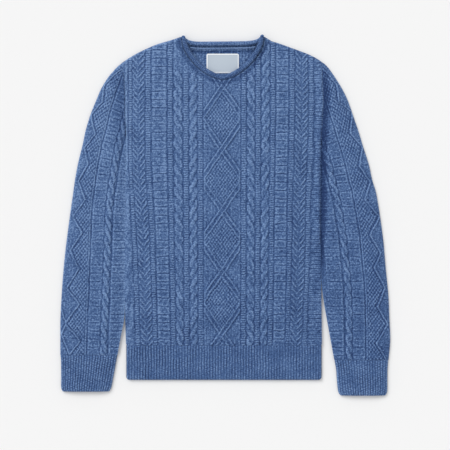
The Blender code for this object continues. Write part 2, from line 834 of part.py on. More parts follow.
def sleeve_relief(side_name, side, points):
    rows = SLEEVE_ROWS[side_name]
    along = points[:, 1]
    distance = side * (points[:, 0] - CENTRE_X)
    past_groove = across_at(rows, 2, along) - distance
    from_fold = across_at(rows, 1, along) - distance
    level = along + row_slant(along) * past_groove
    height = -GROOVE_DEPTH * np.clip(1.0 - np.abs(past_groove) / GROOVE_HALF_WIDTH, 0, 1)
    ridge = ZIGZAG_HEIGHT * np.clip(1.0 - np.abs(from_fold - zigzag_place(along)) / ZIGZAG_FOOT, 0, 1)
    height = np.where((along < ZIGZAG_TOP) & (past_groove < 0), np.maximum(height, ridge), height)
    for stitch, start, end in SLEEVE_COLUMNS:
        across, width = past_groove - (start + end) / 2, end - start
        if stitch == "rope":
            raised = rope_relief(across, level, width, 1.1)
        else:
            raised = ladder_relief(across, level, width)
        height = np.maximum(height, np.where(np.abs(across) < width / 2, raised, -GROOVE_DEPTH))
    return height


def sleeve_marks(region, side_name, side):
    """The lines of one sleeve's stitches, kept inside its edges."""
    rows = SLEEVE_ROWS[side_name]
    low, high = rows[-1][0], rows[0][0]
    margin = SEAM_RADIUS + 1.0
    marks = []

    def place(distance, height):
        return CENTRE_X + side * distance, height

    for off in (-GROOVE_HALF_WIDTH, 0.0, GROOVE_HALF_WIDTH):
        heights = np.arange(low, high, 2 * EDGE_STEP)
        marks += region.kept([place(across_at(rows, 2, y) + off, y) for y in heights], margin)
    turns = np.arange(math.floor((low - ZIGZAG_INNER_TURN) / ZIGZAG_PITCH * 2), 99)
    heights = [ZIGZAG_INNER_TURN + turn * ZIGZAG_PITCH / 2 for turn in turns]
    heights = [y for y in heights if y < ZIGZAG_TOP]
    for off in (-ZIGZAG_FOOT, 0.0, ZIGZAG_FOOT):
        line = [place(across_at(rows, 1, y) - zigzag_place(y) + off, y) for y in heights]
        marks += region.kept(line, 1.2)
    for stitch, start, end in SLEEVE_COLUMNS:
        width = end - start
        lines = rope_lines(width, 1.1, low, high) if stitch == "rope" else ladder_lines(width, low, high)
        for line in lines:
            placed = []
            for across, level in line:
                past_groove = (start + end) / 2 + across
                y = level - row_slant(level) * past_groove
                placed.append(place(across_at(rows, 2, y) - past_groove, y))
            marks += region.kept(placed, margin)
    return marks


def make_sleeve(side_name, side, material, collection):
    region = sleeve_region(side_name, side)
    marks = sleeve_marks(region, side_name, side)
    relief = lambda points: sleeve_relief(side_name, side, points)
    return tube_solid(f"sleeve_{side_name}", region, marks, relief, material, collection)


def make_cuff(side_name, side, material, collection):
    """A ribbed cuff below the sleeve, drawn in a little towards its end."""
    rows = CUFF_ROWS[side_name]
    outer, inner = side_line(rows, 1, side), side_line(rows, 2, side)
    stretches = [
        ("open", straight_line(outer[-1], inner[-1])),
        ("fold", smooth_line(inner[::-1])),
        ("open", straight_line(inner[0], outer[0])),
        ("fold", smooth_line(outer)),
    ]
    if side > 0:
        stretches = [(finish, np.array(line)[::-1]) for finish, line in stretches[::-1]]
    region = Region(stretches)
    ribs = CUFF_RIBS[side_name]

    def share_of(points):
        distance = side * (points[:, 0] - CENTRE_X)
        far, near = across_at(rows, 1, points[:, 1]), across_at(rows, 2, points[:, 1])
        return (distance - near) / (far - near)

    def relief(points):
        return rib_relief(share_of(points), ribs)

    def near_at(y):
        return CENTRE_X + side * float(across_at(rows, 2, y))

    def far_at(y):
        return CENTRE_X + side * float(across_at(rows, 1, y))

    margin = SEAM_RADIUS + 3.0
    lines = rib_lines(near_at, far_at, rows[-1][0] + margin, rows[0][0] - margin, ribs)
    marks = [run for line in lines for run in region.kept(line, margin - 0.1)]
    return tube_solid(f"cuff_{side_name}", region, marks, relief, material, collection)


def unit(vector):
    return vector / np.linalg.norm(vector)


def roll_stations():
    """Centre, up-the-neck direction, outward direction and radius at each place round the neckband."""
    front, back = neck_front_line(30), neck_back_line(16)
    tips = front[0], front[-1]
    up_z = np.array([0.0, 0.0, 1.0])
    rest = FOLD_HEIGHT + FOLD_BEND

    def branch(line, height_of, outward, turn):
        runs = np.gradient(line, axis=0)
        stations = []
        for point, run, radius in list(zip(line, runs, roll_radius(line)))[1:-1]:
            near_tip = min(math.dist(point, tip) for tip in tips)
            neckward = unit(np.array([turn * run[1], -turn * run[0], 0.0]))
            centre = np.array([point[0], point[1], height_of(near_tip)])
            stations.append((centre, neckward, outward, radius))
        return stations

    def front_height(near_tip):
        settle = smoothstep(near_tip / (3 * FOLD_REACH))
        return rest + (FRONT_ROLL_HEIGHT - rest) * settle

    def back_height(near_tip):
        settle = smoothstep(near_tip / FOLD_REACH)
        low = FOLD_HEIGHT - FOLD_BEND
        return low + (ROLL_RADIUS - low) * settle

    front_side = branch(front, front_height, up_z, 1.0)
    back_side = branch(back[::-1], back_height, -up_z, -1.0)

    def turn_over(before, after, tip):
        """Stations round the fold at one end of the neck, from one branch to the other."""
        axis = unit(before[1] + after[1])
        away = unit(np.cross(axis, before[2]))
        away *= math.copysign(1.0, away[0] * (tip[0] - CENTRE_X))
        stations = []
        for angle in np.radians((20, 55, 90, 125, 160)):
            outward = unit(math.cos(angle) * before[2] + math.sin(angle) * away)
            blend = angle / math.pi
            neckward = (1 - blend) * before[1] + blend * after[1]
            neckward = unit(neckward - neckward.dot(outward) * outward)
            centre = np.array([tip[0], tip[1], FOLD_HEIGHT]) + FOLD_BEND * outward
            stations.append((centre, neckward, outward, FOLD_ROLL_RADIUS))
        return stations

    left_turn = turn_over(front_side[-1], back_side[0], tips[1])
    right_turn = turn_over(back_side[-1], front_side[0], tips[0])
    return front_side + left_turn + back_side + right_turn


def roll_section(radius):
    """The band's rolled section: an open ring of cloth, as (up the neck, outward) points."""
    wall = ROLL_WALL * radius / ROLL_RADIUS
    start, end = math.radians(ROLL_START), math.radians(ROLL_START + ROLL_TURN)
    outer = [(radius, a) for a in np.linspace(start, end, ROLL_OUTER_POINTS)]
    inner = [(radius - wall, a) for a in np.linspace(end, start, ROLL_INNER_POINTS)]
    return [(r * math.cos(a), r * math.sin(a)) for r, a in outer + inner]


def make_neckband(material, collection):
    mesh = bmesh.new()
    rings = []
    for centre, neckward, outward, radius in roll_stations():
        ring = []
        for up, out in roll_section(radius):
            ring.append(mesh.verts.new((centre + up * neckward + out * outward) * MM))
        rings.append(ring)
    for k, ring in enumerate(rings):
        join_borders(mesh, ring, rings[(k + 1) % len(rings)])
    return finish_object("neckband_roll", mesh, material, collection)


def make_label(material, collection):
    """The woven label sewn flat to the inside of the back, under the neckband."""
    mesh = bmesh.new()
    bmesh.ops.create_cube(mesh, size=1.0)
    size = Matrix.Diagonal((LABEL_WIDTH * MM, LABEL_HEIGHT * MM, LABEL_THICKNESS * MM, 1.0))
    bmesh.ops.transform(mesh, matrix=size, verts=mesh.verts)
    upright = [e for e in mesh.edges if abs(e.verts[0].co.z - e.verts[1].co.z) > LABEL_THICKNESS * MM / 2]
    bmesh.ops.bevel(mesh, geom=upright, offset=LABEL_CORNER * MM, segments=3, profile=0.5, affect="EDGES")
    height = BACK_WALL + SEAM_GAP + LABEL_THICKNESS / 2
    label = finish_object("neck_label", mesh, material, collection)
    label.location = Vector((CENTRE_X + LABEL_CENTRE[0], LABEL_CENTRE[1], height)) * MM
    return label


def main():
    clear_scene()
    collection = bpy.data.collections.new("cable_knit_sweater")
    bpy.context.scene.collection.children.link(collection)
    wool = cloth_material("wool_yarn", WOOL_BLUE, WOOL_ROUGHNESS)
    woven = cloth_material("woven_label", LABEL_WHITE, LABEL_ROUGHNESS)
    make_back(wool, collection)
    make_front(wool, collection)
    make_back_hem(wool, collection)
    make_front_hem(wool, collection)
    for side_name, side in (("left", -1), ("right", 1)):
        make_sleeve(side_name, side, wool, collection)
        make_cuff(side_name, side, wool, collection)
    make_neckband(wool, collection)
    make_label(woven, collection)


main()
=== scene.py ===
import math

import bmesh
import bpy
import numpy as np
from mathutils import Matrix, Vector
from mathutils.geometry import delaunay_2d_cdt


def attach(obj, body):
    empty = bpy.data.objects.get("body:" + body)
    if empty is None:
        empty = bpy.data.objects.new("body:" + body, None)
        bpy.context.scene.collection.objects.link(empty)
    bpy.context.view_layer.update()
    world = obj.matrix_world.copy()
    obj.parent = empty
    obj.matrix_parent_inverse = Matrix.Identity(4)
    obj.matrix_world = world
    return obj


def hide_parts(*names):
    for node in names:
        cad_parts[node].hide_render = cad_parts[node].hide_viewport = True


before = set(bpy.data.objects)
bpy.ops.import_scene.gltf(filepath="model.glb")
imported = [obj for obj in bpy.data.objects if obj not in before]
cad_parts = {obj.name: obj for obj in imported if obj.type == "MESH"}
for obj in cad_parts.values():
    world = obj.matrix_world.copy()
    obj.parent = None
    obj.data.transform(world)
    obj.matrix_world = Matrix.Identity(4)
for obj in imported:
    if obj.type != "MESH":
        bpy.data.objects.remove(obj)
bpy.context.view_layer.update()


# The yarn
# Marled lambswool: navy and pale blue fibres spun together, a little fuzzy, with no shine. Every knitted
# piece is made of it. Its colour is painted lighter where a stitch stands up and navy down between stitches,
# as painted highlight and painted shade.

MM = 0.001
NAVY = (0.018, 0.042, 0.135, 1.0)
DENIM = (0.070, 0.140, 0.318, 1.0)
PALE_BLUE = (0.245, 0.380, 0.650, 1.0)
PAINTED_LIGHT_UP = 0.00017  # painted light: paler for each millimetre up the cloth, and to the left
PAINTED_LIGHT_LEFT = 0.00013


def add_node(tree, kind, x=0, **settings):
    node = tree.nodes.new(kind)
    node.location = (x, -160 * len(tree.nodes))
    for key, value in settings.items():
        setattr(node, key, value)
    return node


def sum_of(tree, operation, first, second=None, third=None, clamp=False):
    """One step of arithmetic on sockets or numbers, as a Math node's output."""
    node = add_node(tree, "ShaderNodeMath", operation=operation, use_clamp=clamp)
    for slot, value in enumerate((first, second, third)):
        if isinstance(value, (int, float)):
            node.inputs[slot].default_value = value
        elif value is not None:
            tree.links.new(value, node.inputs[slot])
    return node.outputs[0]


def group_with(name, inputs, outputs):
    """A shader group with its named sockets, and the nodes that hold them."""
    tree = bpy.data.node_groups.new(name, "ShaderNodeTree")
    for label, kind, value in inputs:
        socket = tree.interface.new_socket(label, in_out="INPUT", socket_type=kind)
        if value is not None:
            socket.default_value = value
    for label, kind in outputs:
        tree.interface.new_socket(label, in_out="OUTPUT", socket_type=kind)
    return tree, add_node(tree, "NodeGroupInput", -1400), add_node(tree, "NodeGroupOutput", 600)


def stitch_group():
    """Rows of knit stitches: each is a V of two leaning legs, with a hollow between wales."""
    tree, given, made = group_with(
        "knit_stitches",
        [
            ("Cloth", "NodeSocketVector", None),
            ("Stitch Width", "NodeSocketFloat", 3.1),
            ("Row Height", "NodeSocketFloat", 2.3),
        ],
        [("Height", "NodeSocketFloat")],
    )
    apart = add_node(tree, "ShaderNodeSeparateXYZ")
    tree.links.new(given.outputs["Cloth"], apart.inputs[0])
    wale = sum_of(tree, "DIVIDE", apart.outputs[0], given.outputs["Stitch Width"])
    row = sum_of(tree, "DIVIDE", apart.outputs[1], given.outputs["Row Height"])
    across = sum_of(tree, "FRACT", wale)
    lean = sum_of(tree, "ABSOLUTE", sum_of(tree, "SUBTRACT", across, 0.5))
    leg = sum_of(tree, "FRACT", sum_of(tree, "SUBTRACT", row, sum_of(tree, "MULTIPLY", lean, 1.7)))
    round_leg = sum_of(tree, "SINE", sum_of(tree, "MULTIPLY", leg, math.pi))
    beside = sum_of(tree, "FRACT", sum_of(tree, "MULTIPLY", wale, 2.0))
    round_side = sum_of(tree, "SINE", sum_of(tree, "MULTIPLY", beside, math.pi))
    height = sum_of(tree, "MULTIPLY", round_leg, sum_of(tree, "POWER", round_side, 0.6))
    tree.links.new(height, made.inputs["Height"])
    return tree


def marl_group():
    """The mix of dark and pale fibres in the yarn, and its fuzz, with painted shade in hollows, painted
    highlight on raised stitches and a painted light offset.
    """
    tree, given, made = group_with(
        "marled_fibres",
        [
            ("Cloth", "NodeSocketVector", None),
            ("Crest", "NodeSocketFloat", 0.0),
            ("Stitch", "NodeSocketFloat", 0.5),
            ("Contrast", "NodeSocketFloat", 1.0),
            ("Fade", "NodeSocketFloat", 0.0),
        ],
        [("Colour", "NodeSocketColor"), ("Fuzz", "NodeSocketFloat")],
    )

    def fibres(scale, detail, roughness, stretch=(1.0, 1.0, 1.0)):
        place = add_node(tree, "ShaderNodeMapping")
        place.inputs["Scale"].default_value = stretch
        tree.links.new(given.outputs["Cloth"], place.inputs["Vector"])
        noise = add_node(tree, "ShaderNodeTexNoise")
        noise.inputs["Scale"].default_value = scale
        noise.inputs["Detail"].default_value = detail
        noise.inputs["Roughness"].default_value = roughness
        tree.links.new(place.outputs[0], noise.inputs["Vector"])
        return sum_of(tree, "SUBTRACT", noise.outputs[0], 0.5)

    ply = fibres(0.30, 2.0, 0.75)
    hair = fibres(0.75, 2.0, 0.6, (1.0, 0.6, 1.0))
    patch = fibres(0.035, 2.0, 0.5)
    # painted shade in hollows and painted highlight on raised places, from the relief and from the stitch
    # tops
    value = sum_of(tree, "MULTIPLY_ADD", given.outputs["Crest"], 0.25, 0.5)
    value = sum_of(tree, "MULTIPLY_ADD", sum_of(tree, "SUBTRACT", given.outputs["Stitch"], 0.5), 0.20, value)
    fleck = sum_of(tree, "MULTIPLY_ADD", ply, 1.35, sum_of(tree, "MULTIPLY", hair, 0.9))
    value = sum_of(tree, "MULTIPLY_ADD", fleck, given.outputs["Contrast"], value)
    value = sum_of(tree, "MULTIPLY_ADD", patch, 0.35, value)
    # the painted light offset, given by the material
    value = sum_of(tree, "ADD", value, given.outputs["Fade"])
    ramp = add_node(tree, "ShaderNodeValToRGB")
    ramp.color_ramp.elements[0].position, ramp.color_ramp.elements[0].color = 0.08, NAVY
    ramp.color_ramp.elements[1].position, ramp.color_ramp.elements[1].color = 0.92, PALE_BLUE
    middle = ramp.color_ramp.elements.new(0.50)
    middle.color = DENIM
    tree.links.new(value, ramp.inputs[0])
    tree.links.new(ramp.outputs[0], made.inputs["Colour"])
    tree.links.new(sum_of(tree, "ADD", ply, hair), made.inputs["Fuzz"])
    return tree


knit_stitches = stitch_group()
marled_fibres = marl_group()


def yarn_material(name, stitch_width, row_height, contrast=1.0, paler=None):
    """The yarn knitted at one gauge, read along the cloth, with painted light: a little paler towards the
    left shoulder, or a fixed painted light offset where one is given.
    """
    material = bpy.data.materials.new(name)
    material.use_nodes = True
    tree = material.node_tree
    shader = tree.nodes["Principled BSDF"]
    shader.inputs["Roughness"].default_value = 0.95
    shader.inputs["Specular IOR Level"].default_value = 0.15
    shader.inputs["Sheen Weight"].default_value = 0.12
    shader.inputs["Sheen Roughness"].default_value = 0.5
    shader.inputs["Sheen Tint"].default_value = (0.55, 0.68, 0.9, 1.0)
    cloth = add_node(tree, "ShaderNodeUVMap", uv_map="cloth")
    in_mm = add_node(tree, "ShaderNodeVectorMath", operation="SCALE")
    in_mm.inputs["Scale"].default_value = 1 / MM
    tree.links.new(cloth.outputs[0], in_mm.inputs[0])
    crest = add_node(tree, "ShaderNodeAttribute", attribute_name="crest")
    stitches = add_node(tree, "ShaderNodeGroup", node_tree=knit_stitches)
    stitches.inputs["Stitch Width"].default_value = stitch_width
    stitches.inputs["Row Height"].default_value = row_height
    tree.links.new(in_mm.outputs[0], stitches.inputs["Cloth"])
    marl = add_node(tree, "ShaderNodeGroup", node_tree=marled_fibres)
    marl.inputs["Contrast"].default_value = contrast
    tree.links.new(in_mm.outputs[0], marl.inputs["Cloth"])
    # painted light: a fixed offset where one is given, else paler towards the upper left
    if paler is not None:
        marl.inputs["Fade"].default_value = paler
    else:
        apart = add_node(tree, "ShaderNodeSeparateXYZ")
        tree.links.new(in_mm.outputs[0], apart.inputs[0])
        up = sum_of(tree, "MULTIPLY_ADD", apart.outputs[1], PAINTED_LIGHT_UP, 0.01)
        tree.links.new(sum_of(tree, "MULTIPLY_ADD", apart.outputs[0], -PAINTED_LIGHT_LEFT, up), marl.inputs["Fade"])
    tree.links.new(crest.outputs["Fac"], marl.inputs["Crest"])
    tree.links.new(stitches.outputs["Height"], marl.inputs["Stitch"])
    tree.links.new(marl.outputs["Colour"], shader.inputs["Base Color"])
    height = sum_of(tree, "MULTIPLY_ADD", marl.outputs["Fuzz"], 0.8, stitches.outputs["Height"])
    bump = add_node(tree, "ShaderNodeBump")
    bump.inputs["Strength"].default_value = 0.7
    bump.inputs["Distance"].default_value = 0.7 * MM
    tree.links.new(height, bump.inputs["Height"])
    tree.links.new(bump.outputs[0], shader.inputs["Normal"])
    return material


# The front
# One knitted panel, worked from the hem up: diamonds filled with moss stitch down the middle, and on each
# side two ropes, a ladder and a herringbone, parted by columns of purl bars. It lies on the back panel.

CENTRE_X = -6.8
BACK_TOP = 3.0
FRONT_FLOOR = 3.4
CLOTH_WALL = 3.0
BODY_PUFF = 4.2
BODY_PUFF_REACH = 70.0
SIDE_RADIUS = 6.0
BESIDE_RADIUS = 2.2  # where a sleeve lies against the side
BESIDE_LIP = 6.0
SHOULDER_END = 303.0
EDGE_ROLL = 2.0
SEAM_RADIUS = 4.0
SEAM_SINK = 1.8
LINKED_SINK = 0.3
LINKED_RADIUS = 1.5
HEM_SEAM = -259.7
BODY_EDGE = (
    # height, left, right, from the centre line
    (358.4, 80.5, 82.5),
    (356.6, 86.0, 87.0),
    (353.6, 94.0, 92.0),
    (349.0, 109.0, 99.5),
    (345.0, 123.0, 113.0),
    (341.0, 134.6, 124.0),
    (331.0, 157.5, 151.6),
    (321.0, 176.4, 177.0),
    (311.0, 192.6, 195.0),
    (306.5, 199.0, 201.0),
    (303.0, 202.0, 201.6),
    (285.0, 197.5, 201.0),
    (255.0, 195.0, 202.0),
    (231.0, 194.6, 203.0),
    (201.0, 194.4, 202.0),
    (171.0, 193.0, 200.0),
    (141.0, 192.0, 198.0),
    (81.0, 192.4, 197.5),
    (-39.0, 193.4, 197.0),
    (-169.0, 194.0, 198.5),
    (HEM_SEAM, 191.6, 199.4),
)
SEAM_CLOSED = 0.4  # wool presses together at a seam, so nothing shows between two pieces
NECK_CENTRE = -5.2
NECK_TOP = 354.0
NECK_TILT = 0.012  # the neck's left end lies a little lower than its right
NECK_HALF_WIDTH = 77.6
NECK_DEPTH = 78.0
NECK_SQUARENESS = 1.6
BACK_NECK_HEIGHT = 343.2
BACK_NECK_CURVE = 8.0
ROLL_RADIUS = 5.2
FOLD_ROLL_RADIUS = 3.9
FOLD_REACH = 20.0
CHEST_HEIGHT = 130.0
WAIST_HEIGHT = -169.0
FRONT_COLUMNS = (
    # stitch, chest inner, chest outer, waist inner, waist outer, lean, mesh lines
    ("lattice", 0.0, 37.4, 0.0, 36.6, 0.0, 23),
    ("tick", 38.4, 48.2, 37.6, 47.4, 0.0, 6),
    ("rope", 49.0, 66.4, 48.2, 65.0, -1.1, 11),
    ("tick", 67.4, 77.2, 66.0, 75.4, 0.0, 6),
    ("rope", 78.4, 97.6, 76.4, 92.6, 1.1, 12),
    ("tick", 99.0, 107.8, 93.8, 102.8, 0.0, 6),
    ("ladder", 109.4, 136.6, 104.2, 130.0, 0.0, 11),
    ("tick", 138.0, 148.6, 131.2, 139.4, 0.0, 6),
    ("herringbone", 150.4, 175.2, 140.4, 165.2, 1.1, 16),
    ("tick", 176.4, 185.4, 166.4, 175.4, 0.0, 5),
    ("strip", 187.0, 206.0, 176.6, 206.0, 0.0, 9),
)
RIGHT_DRIFT = 5.4  # the panel was laid out a little to the left of its middle, most beside the sleeves
LEFT_DRIFT = 4.6
ROW_STEP = 1.32
YOKE_START = 283.0  # above this the ropes beside the left of the neck run out into plainer knitting
YOKE_HALF = 99.0
ROPE_PITCH = 24.4
ROPE_SWING = 0.44  # the strands' swing and half width, as shares of the rope's half width
ROPE_STRAND = 0.55
ROPE_RISE = 1.15
RIGHT_ROPE_SHIFT = 6.0  # the ropes on the right cross a little lower
LADDER_PITCH = 16.5
LADDER_START = 231.4
HERRING_PITCH = 12.0
TICK_PITCH = 4.6
DIAMOND_HALF_WIDTH = 34.4
DIAMOND_HALF_HEIGHT = 50.0
DIAMOND_PITCH = 122.5
FIRST_DIAMOND = 194.0
STRAND_HALF = 6.2  # half width of a lattice strand, square to its run
STRAND_RIB = 4.1  # its two raised ribs run this far from its middle
MOSS_ACROSS = 6.6
MOSS_ALONG = 8.8
MOSS_REACH = 1.125  # how far the moss fills a diamond, as a share of its half width and height together
PLAIN_ACROSS = 3.1  # plain knitting's wales and rows
PLAIN_ALONG = 2.3
UNEVENNESS = (
    # amount and patch size, then a finer amount and patch size
    (0.55, 13.0, 0.25, 5.0),  # stitches out of place sideways
    (0.9, 17.0, 0.7, 5.0),  # and up or down
    (0.35, 23.0, 0.35, 6.0),  # tension, as a share of a stitch's height
    (0.34, 2.7, 0.15, 4.6),  # single loose stitches
)
ROLL_SHADE = (1.1, 6.8, 3.4)  # painted shade beside the roll: how much, how far below the neckline, spread
SIDE_SHADE = (0.7, 4.5)  # painted shade along the right side: how much, spread
SIDE_PALE = (0.5, 4.5)  # the left side catches the light


def smoothstep(share):
    share = np.clip(share, 0.0, 1.0)
    return share * share * (3.0 - 2.0 * share)


def bell(place, middle, spread, power=2):
    """1 at the middle, falling off on both sides; a higher power makes its top flatter."""
    return np.exp(-(np.abs((place - middle) / spread) ** power))


def smooth_line(points, step=6.0):
    """Points about a step apart on a soft curve through these ones."""
    points = np.array(points, float)
    knots = np.vstack([2 * points[0] - points[1], points, 2 * points[-1] - points[-2]])
    line = []
    for k in range(1, len(knots) - 2):
        a, b, c, d = knots[k - 1 : k + 3]
        square, cube = 2 * a - 5 * b + 4 * c - d, 3 * b - a - 3 * c + d
        count = max(1, round(np.linalg.norm(c - b) / step))
        for t in np.arange(count) / count:
            line.append(0.5 * (2 * b + (c - a) * t + square * t**2 + cube * t**3))
    line.append(points[-1])
    return np.array(line)


def inset_line(line, by):
    """A line moved to its left, which is inwards on an outline that runs anticlockwise."""
    runs = np.gradient(line, axis=0)
    lefts = np.column_stack([-runs[:, 1], runs[:, 0]])
    return line + by * lefts / np.linalg.norm(lefts, axis=1)[:, None]


def nearest_on(points, line):
    """How far each point lies from a line of straight steps, and the nearest place on it."""
    points = np.atleast_2d(points)
    starts, runs = line[:-1], np.diff(line, axis=0)
    square = np.maximum((runs**2).sum(1), 1e-12)
    distances, places = np.empty(len(points)), np.empty((len(points), 2))
    for k in range(0, len(points), 20000):
        some = points[k : k + 20000]
        share = np.clip(((some[:, None] - starts) * runs).sum(2) / square, 0, 1)
        found = starts + share[..., None] * runs
        gap = np.sqrt(((some[:, None] - found) ** 2).sum(2))
        best = gap.argmin(1)
        rows = np.arange(len(some))
        distances[k : k + 20000], places[k : k + 20000] = gap[rows, best], found[rows, best]
    return distances, places


def is_inside(points, outline):
    x, y = np.atleast_2d(points).T
    crossings = np.zeros(len(x), int)
    for (x1, y1), (x2, y2) in zip(outline, np.roll(outline, -1, axis=0)):
        if y1 != y2:
            spans = (y1 > y) != (y2 > y)
            crossings += spans & (x < x1 + (y - y1) * (x2 - x1) / (y2 - y1))
    return crossings % 2 == 1


def rounding(points, lines, radius):
    """1 at the edge lines, falling along a quarter circle to 0 a radius inside them."""
    most = np.zeros(len(points))
    for line in lines:
        rest = 1.0 - np.clip(nearest_on(points, line)[0] / radius, 0, 1)
        most = np.maximum(most, 1.0 - np.sqrt(np.maximum(1.0 - rest**2, 0)))
    return most


def reach_of(points, lines):
    return np.min([nearest_on(points, line)[0] for line in lines], axis=0)


SHARP_TURN = 1.2  # radians between two faces, from which their edge stays sharp


class Knit:
    """A knitted piece's points and faces while its skins are put together."""

    def __init__(self):
        self.points, self.crests, self.faces, self.count = [], [], [], 0

    def add_points(self, xyz, crest=None):
        xyz = np.asarray(xyz, float)
        start = self.count
        self.points.append(xyz)
        self.crests.append(np.zeros(len(xyz)) if crest is None else crest)
        self.count += len(xyz)
        return np.arange(start, self.count)

    def add_grid(self, x, y, z, crest, kept):
        """The kept cells of a grid. Returns its border, anticlockwise: the points' names and places."""
        used = np.zeros(x.shape, bool)
        for down in (0, 1):
            for right in (0, 1):
                used[down : down + kept.shape[0], right : right + kept.shape[1]] |= kept
        names = np.full(x.shape, -1)
        names[used] = self.add_points(np.column_stack([x[used], y[used], z[used]]), crest[used])
        corners = np.stack([names[:-1, :-1], names[:-1, 1:], names[1:, 1:], names[1:, :-1]], -1)
        self.faces += corners[kept].tolist()
        around = np.pad(kept, 1)
        inner = around[1:-1, 1:-1]
        follows = {}
        for neighbour, a, b in (
            (around[:-2, 1:-1], (0, 0), (0, 1)),
            (around[1:-1, 2:], (0, 1), (1, 1)),
            (around[2:, 1:-1], (1, 1), (1, 0)),
            (around[1:-1, :-2], (1, 0), (0, 0)),
        ):
            for r, c in zip(*np.nonzero(inner & ~neighbour)):
                follows[(r + a[0], c + a[1])] = (r + b[0], c + b[1])
        start = place = next(iter(follows))
        loop = []
        while True:
            loop.append(place)
            place = follows[place]
            if place == start:
                break
        rim = tuple(np.array(loop).T)
        return names[rim], np.column_stack([x[rim], y[rim], z[rim]])

    def add_plain(self, border, outline, height_of, step):
        """A plain skin inside a border that is already there, with a few points to carry its swell."""
        low, high = outline.min(0), outline.max(0)
        grid = np.stack(np.meshgrid(np.arange(low[0], high[0], step), np.arange(low[1], high[1], step)), -1)
        grid = grid.reshape(-1, 2)
        closed = np.vstack([outline, outline[:1]])
        inside = is_inside(grid, outline) & (nearest_on(grid, closed)[0] > 0.3 * step)
        free = grid[inside]
        count = len(outline)
        flat = [Vector(p) for p in np.vstack([outline, free])]
        edges = [(k, (k + 1) % count) for k in range(count)]
        found = delaunay_2d_cdt(flat, edges, [], 1, 0.0001)
        own = self.add_points(np.column_stack([free, height_of(free)])) if len(free) else np.zeros(0, int)
        given = np.concatenate([border, own])
        names = [given[olds[0]] if olds else None for olds in found[3]]
        for face in found[2]:
            corners = [names[k] for k in face]
            if None not in corners and len(set(corners)) == len(corners):
                self.faces.append(corners)

    def add_lining(self, border, edge, height_of, step, rim=None):
        """A plain skin under a grid, joined to its border all round."""
        plain = self.add_points(np.column_stack([edge, height_of(edge) if rim is None else rim]))
        self.add_plain(plain, edge, height_of, step)
        self.join(border, plain, closed=True)

    def join(self, one, other, closed=False):
        """A rim of faces between two rows of points."""
        count = len(one)
        for k in range(count if closed else count - 1):
            n = (k + 1) % count
            corners = [one[k], one[n], other[n], other[k]]
            self.faces.append([c for i, c in enumerate(corners) if c not in corners[:i]])

    def make(self, name, material, cloth_place=None):
        points = np.vstack(self.points)
        mesh = bpy.data.meshes.new(name)
        mesh.from_pydata((points * MM).tolist(), [], self.faces)
        crest = mesh.attributes.new("crest", "FLOAT", "POINT")
        crest.data.foreach_set("value", np.concatenate(self.crests).astype(np.float32))
        place = points[:, :2] if cloth_place is None else cloth_place(points)
        corners = np.zeros(len(mesh.loops), int)
        mesh.loops.foreach_get("vertex_index", corners)
        layer = mesh.uv_layers.new(name="cloth")
        layer.data.foreach_set("uv", (place[corners] * MM).astype(np.float32).ravel())
        solid = bmesh.new()
        solid.from_mesh(mesh)
        bmesh.ops.recalc_face_normals(solid, faces=solid.faces)
        for rim in solid.edges:
            rim.smooth = rim.calc_face_angle(0.0) < SHARP_TURN
        solid.to_mesh(mesh)
        solid.free()
        mesh.shade_smooth()
        mesh.materials.append(material)
        piece = bpy.data.objects.new(name, mesh)
        bpy.context.scene.collection.objects.link(piece)
        return piece


def crest_of(height, rows=2, columns=2, scale=0.45):
    """How far each grid point stands above its surroundings, from -1 in a hollow to 1 on a ridge, which the
    colour takes as painted shade in hollows and painted highlight on ridges.
    """
    padded = np.pad(height, ((rows, rows), (columns, columns)), mode="edge")
    mean = np.zeros_like(height)
    for down in range(2 * rows + 1):
        for right in range(2 * columns + 1):
            mean += padded[down : down + height.shape[0], right : right + height.shape[1]]
    mean /= (2 * rows + 1) * (2 * columns + 1)
    return np.clip((height - mean) / scale, -1, 1)


def neck_points(share, height):
    """Points of a neckline, from -1 to 1 across the neck."""
    across = NECK_HALF_WIDTH * share
    return np.column_stack([NECK_CENTRE + across, height + NECK_TILT * across])


def neck_front_line(count=90):
    angles = np.linspace(0, np.pi, count + 1)
    power = 2.0 / NECK_SQUARENESS
    x = np.sign(np.cos(angles)) * np.abs(np.cos(angles)) ** power
    return neck_points(x, NECK_TOP - NECK_DEPTH * np.sin(angles) ** power)


def neck_back_line(count=60):
    x = np.linspace(1, -1, count + 1)
    y = BACK_NECK_HEIGHT + (NECK_TOP - BACK_NECK_HEIGHT) * np.abs(x) ** BACK_NECK_CURVE
    return neck_points(x, y)


def roll_radius(line):
    near_end = np.minimum(*(np.linalg.norm(line - line[k], axis=1) for k in (0, -1)))
    return FOLD_ROLL_RADIUS + (ROLL_RADIUS - FOLD_ROLL_RADIUS) * smoothstep(near_end / FOLD_REACH)


def body_lines(neck_line):
    """The body's edge lines, anticlockwise: hem seam, sides and shoulders, armholes, and the neckline."""
    neckline = inset_line(neck_line, (roll_radius(neck_line) - 0.6)[:, None])
    sides = {}
    for side, column in ((-1, 1), (1, 2)):
        outs = [row[column] + (row[0] <= SHOULDER_END) * SEAM_CLOSED for row in BODY_EDGE]
        sides[side] = [(CENTRE_X + side * out, row[0]) for out, row in zip(outs, BODY_EDGE)]
    right = smooth_line(sides[1][::-1] + [tuple(neckline[0])])
    left = smooth_line([tuple(neckline[-1])] + sides[-1])
    hem = np.array([left[-1], right[0]])
    return {"hem": hem, "right": right, "neck": neckline, "left": left}


def outline_of(lines):
    return np.vstack([lines[key][:-1] for key in ("hem", "right", "neck", "left")])


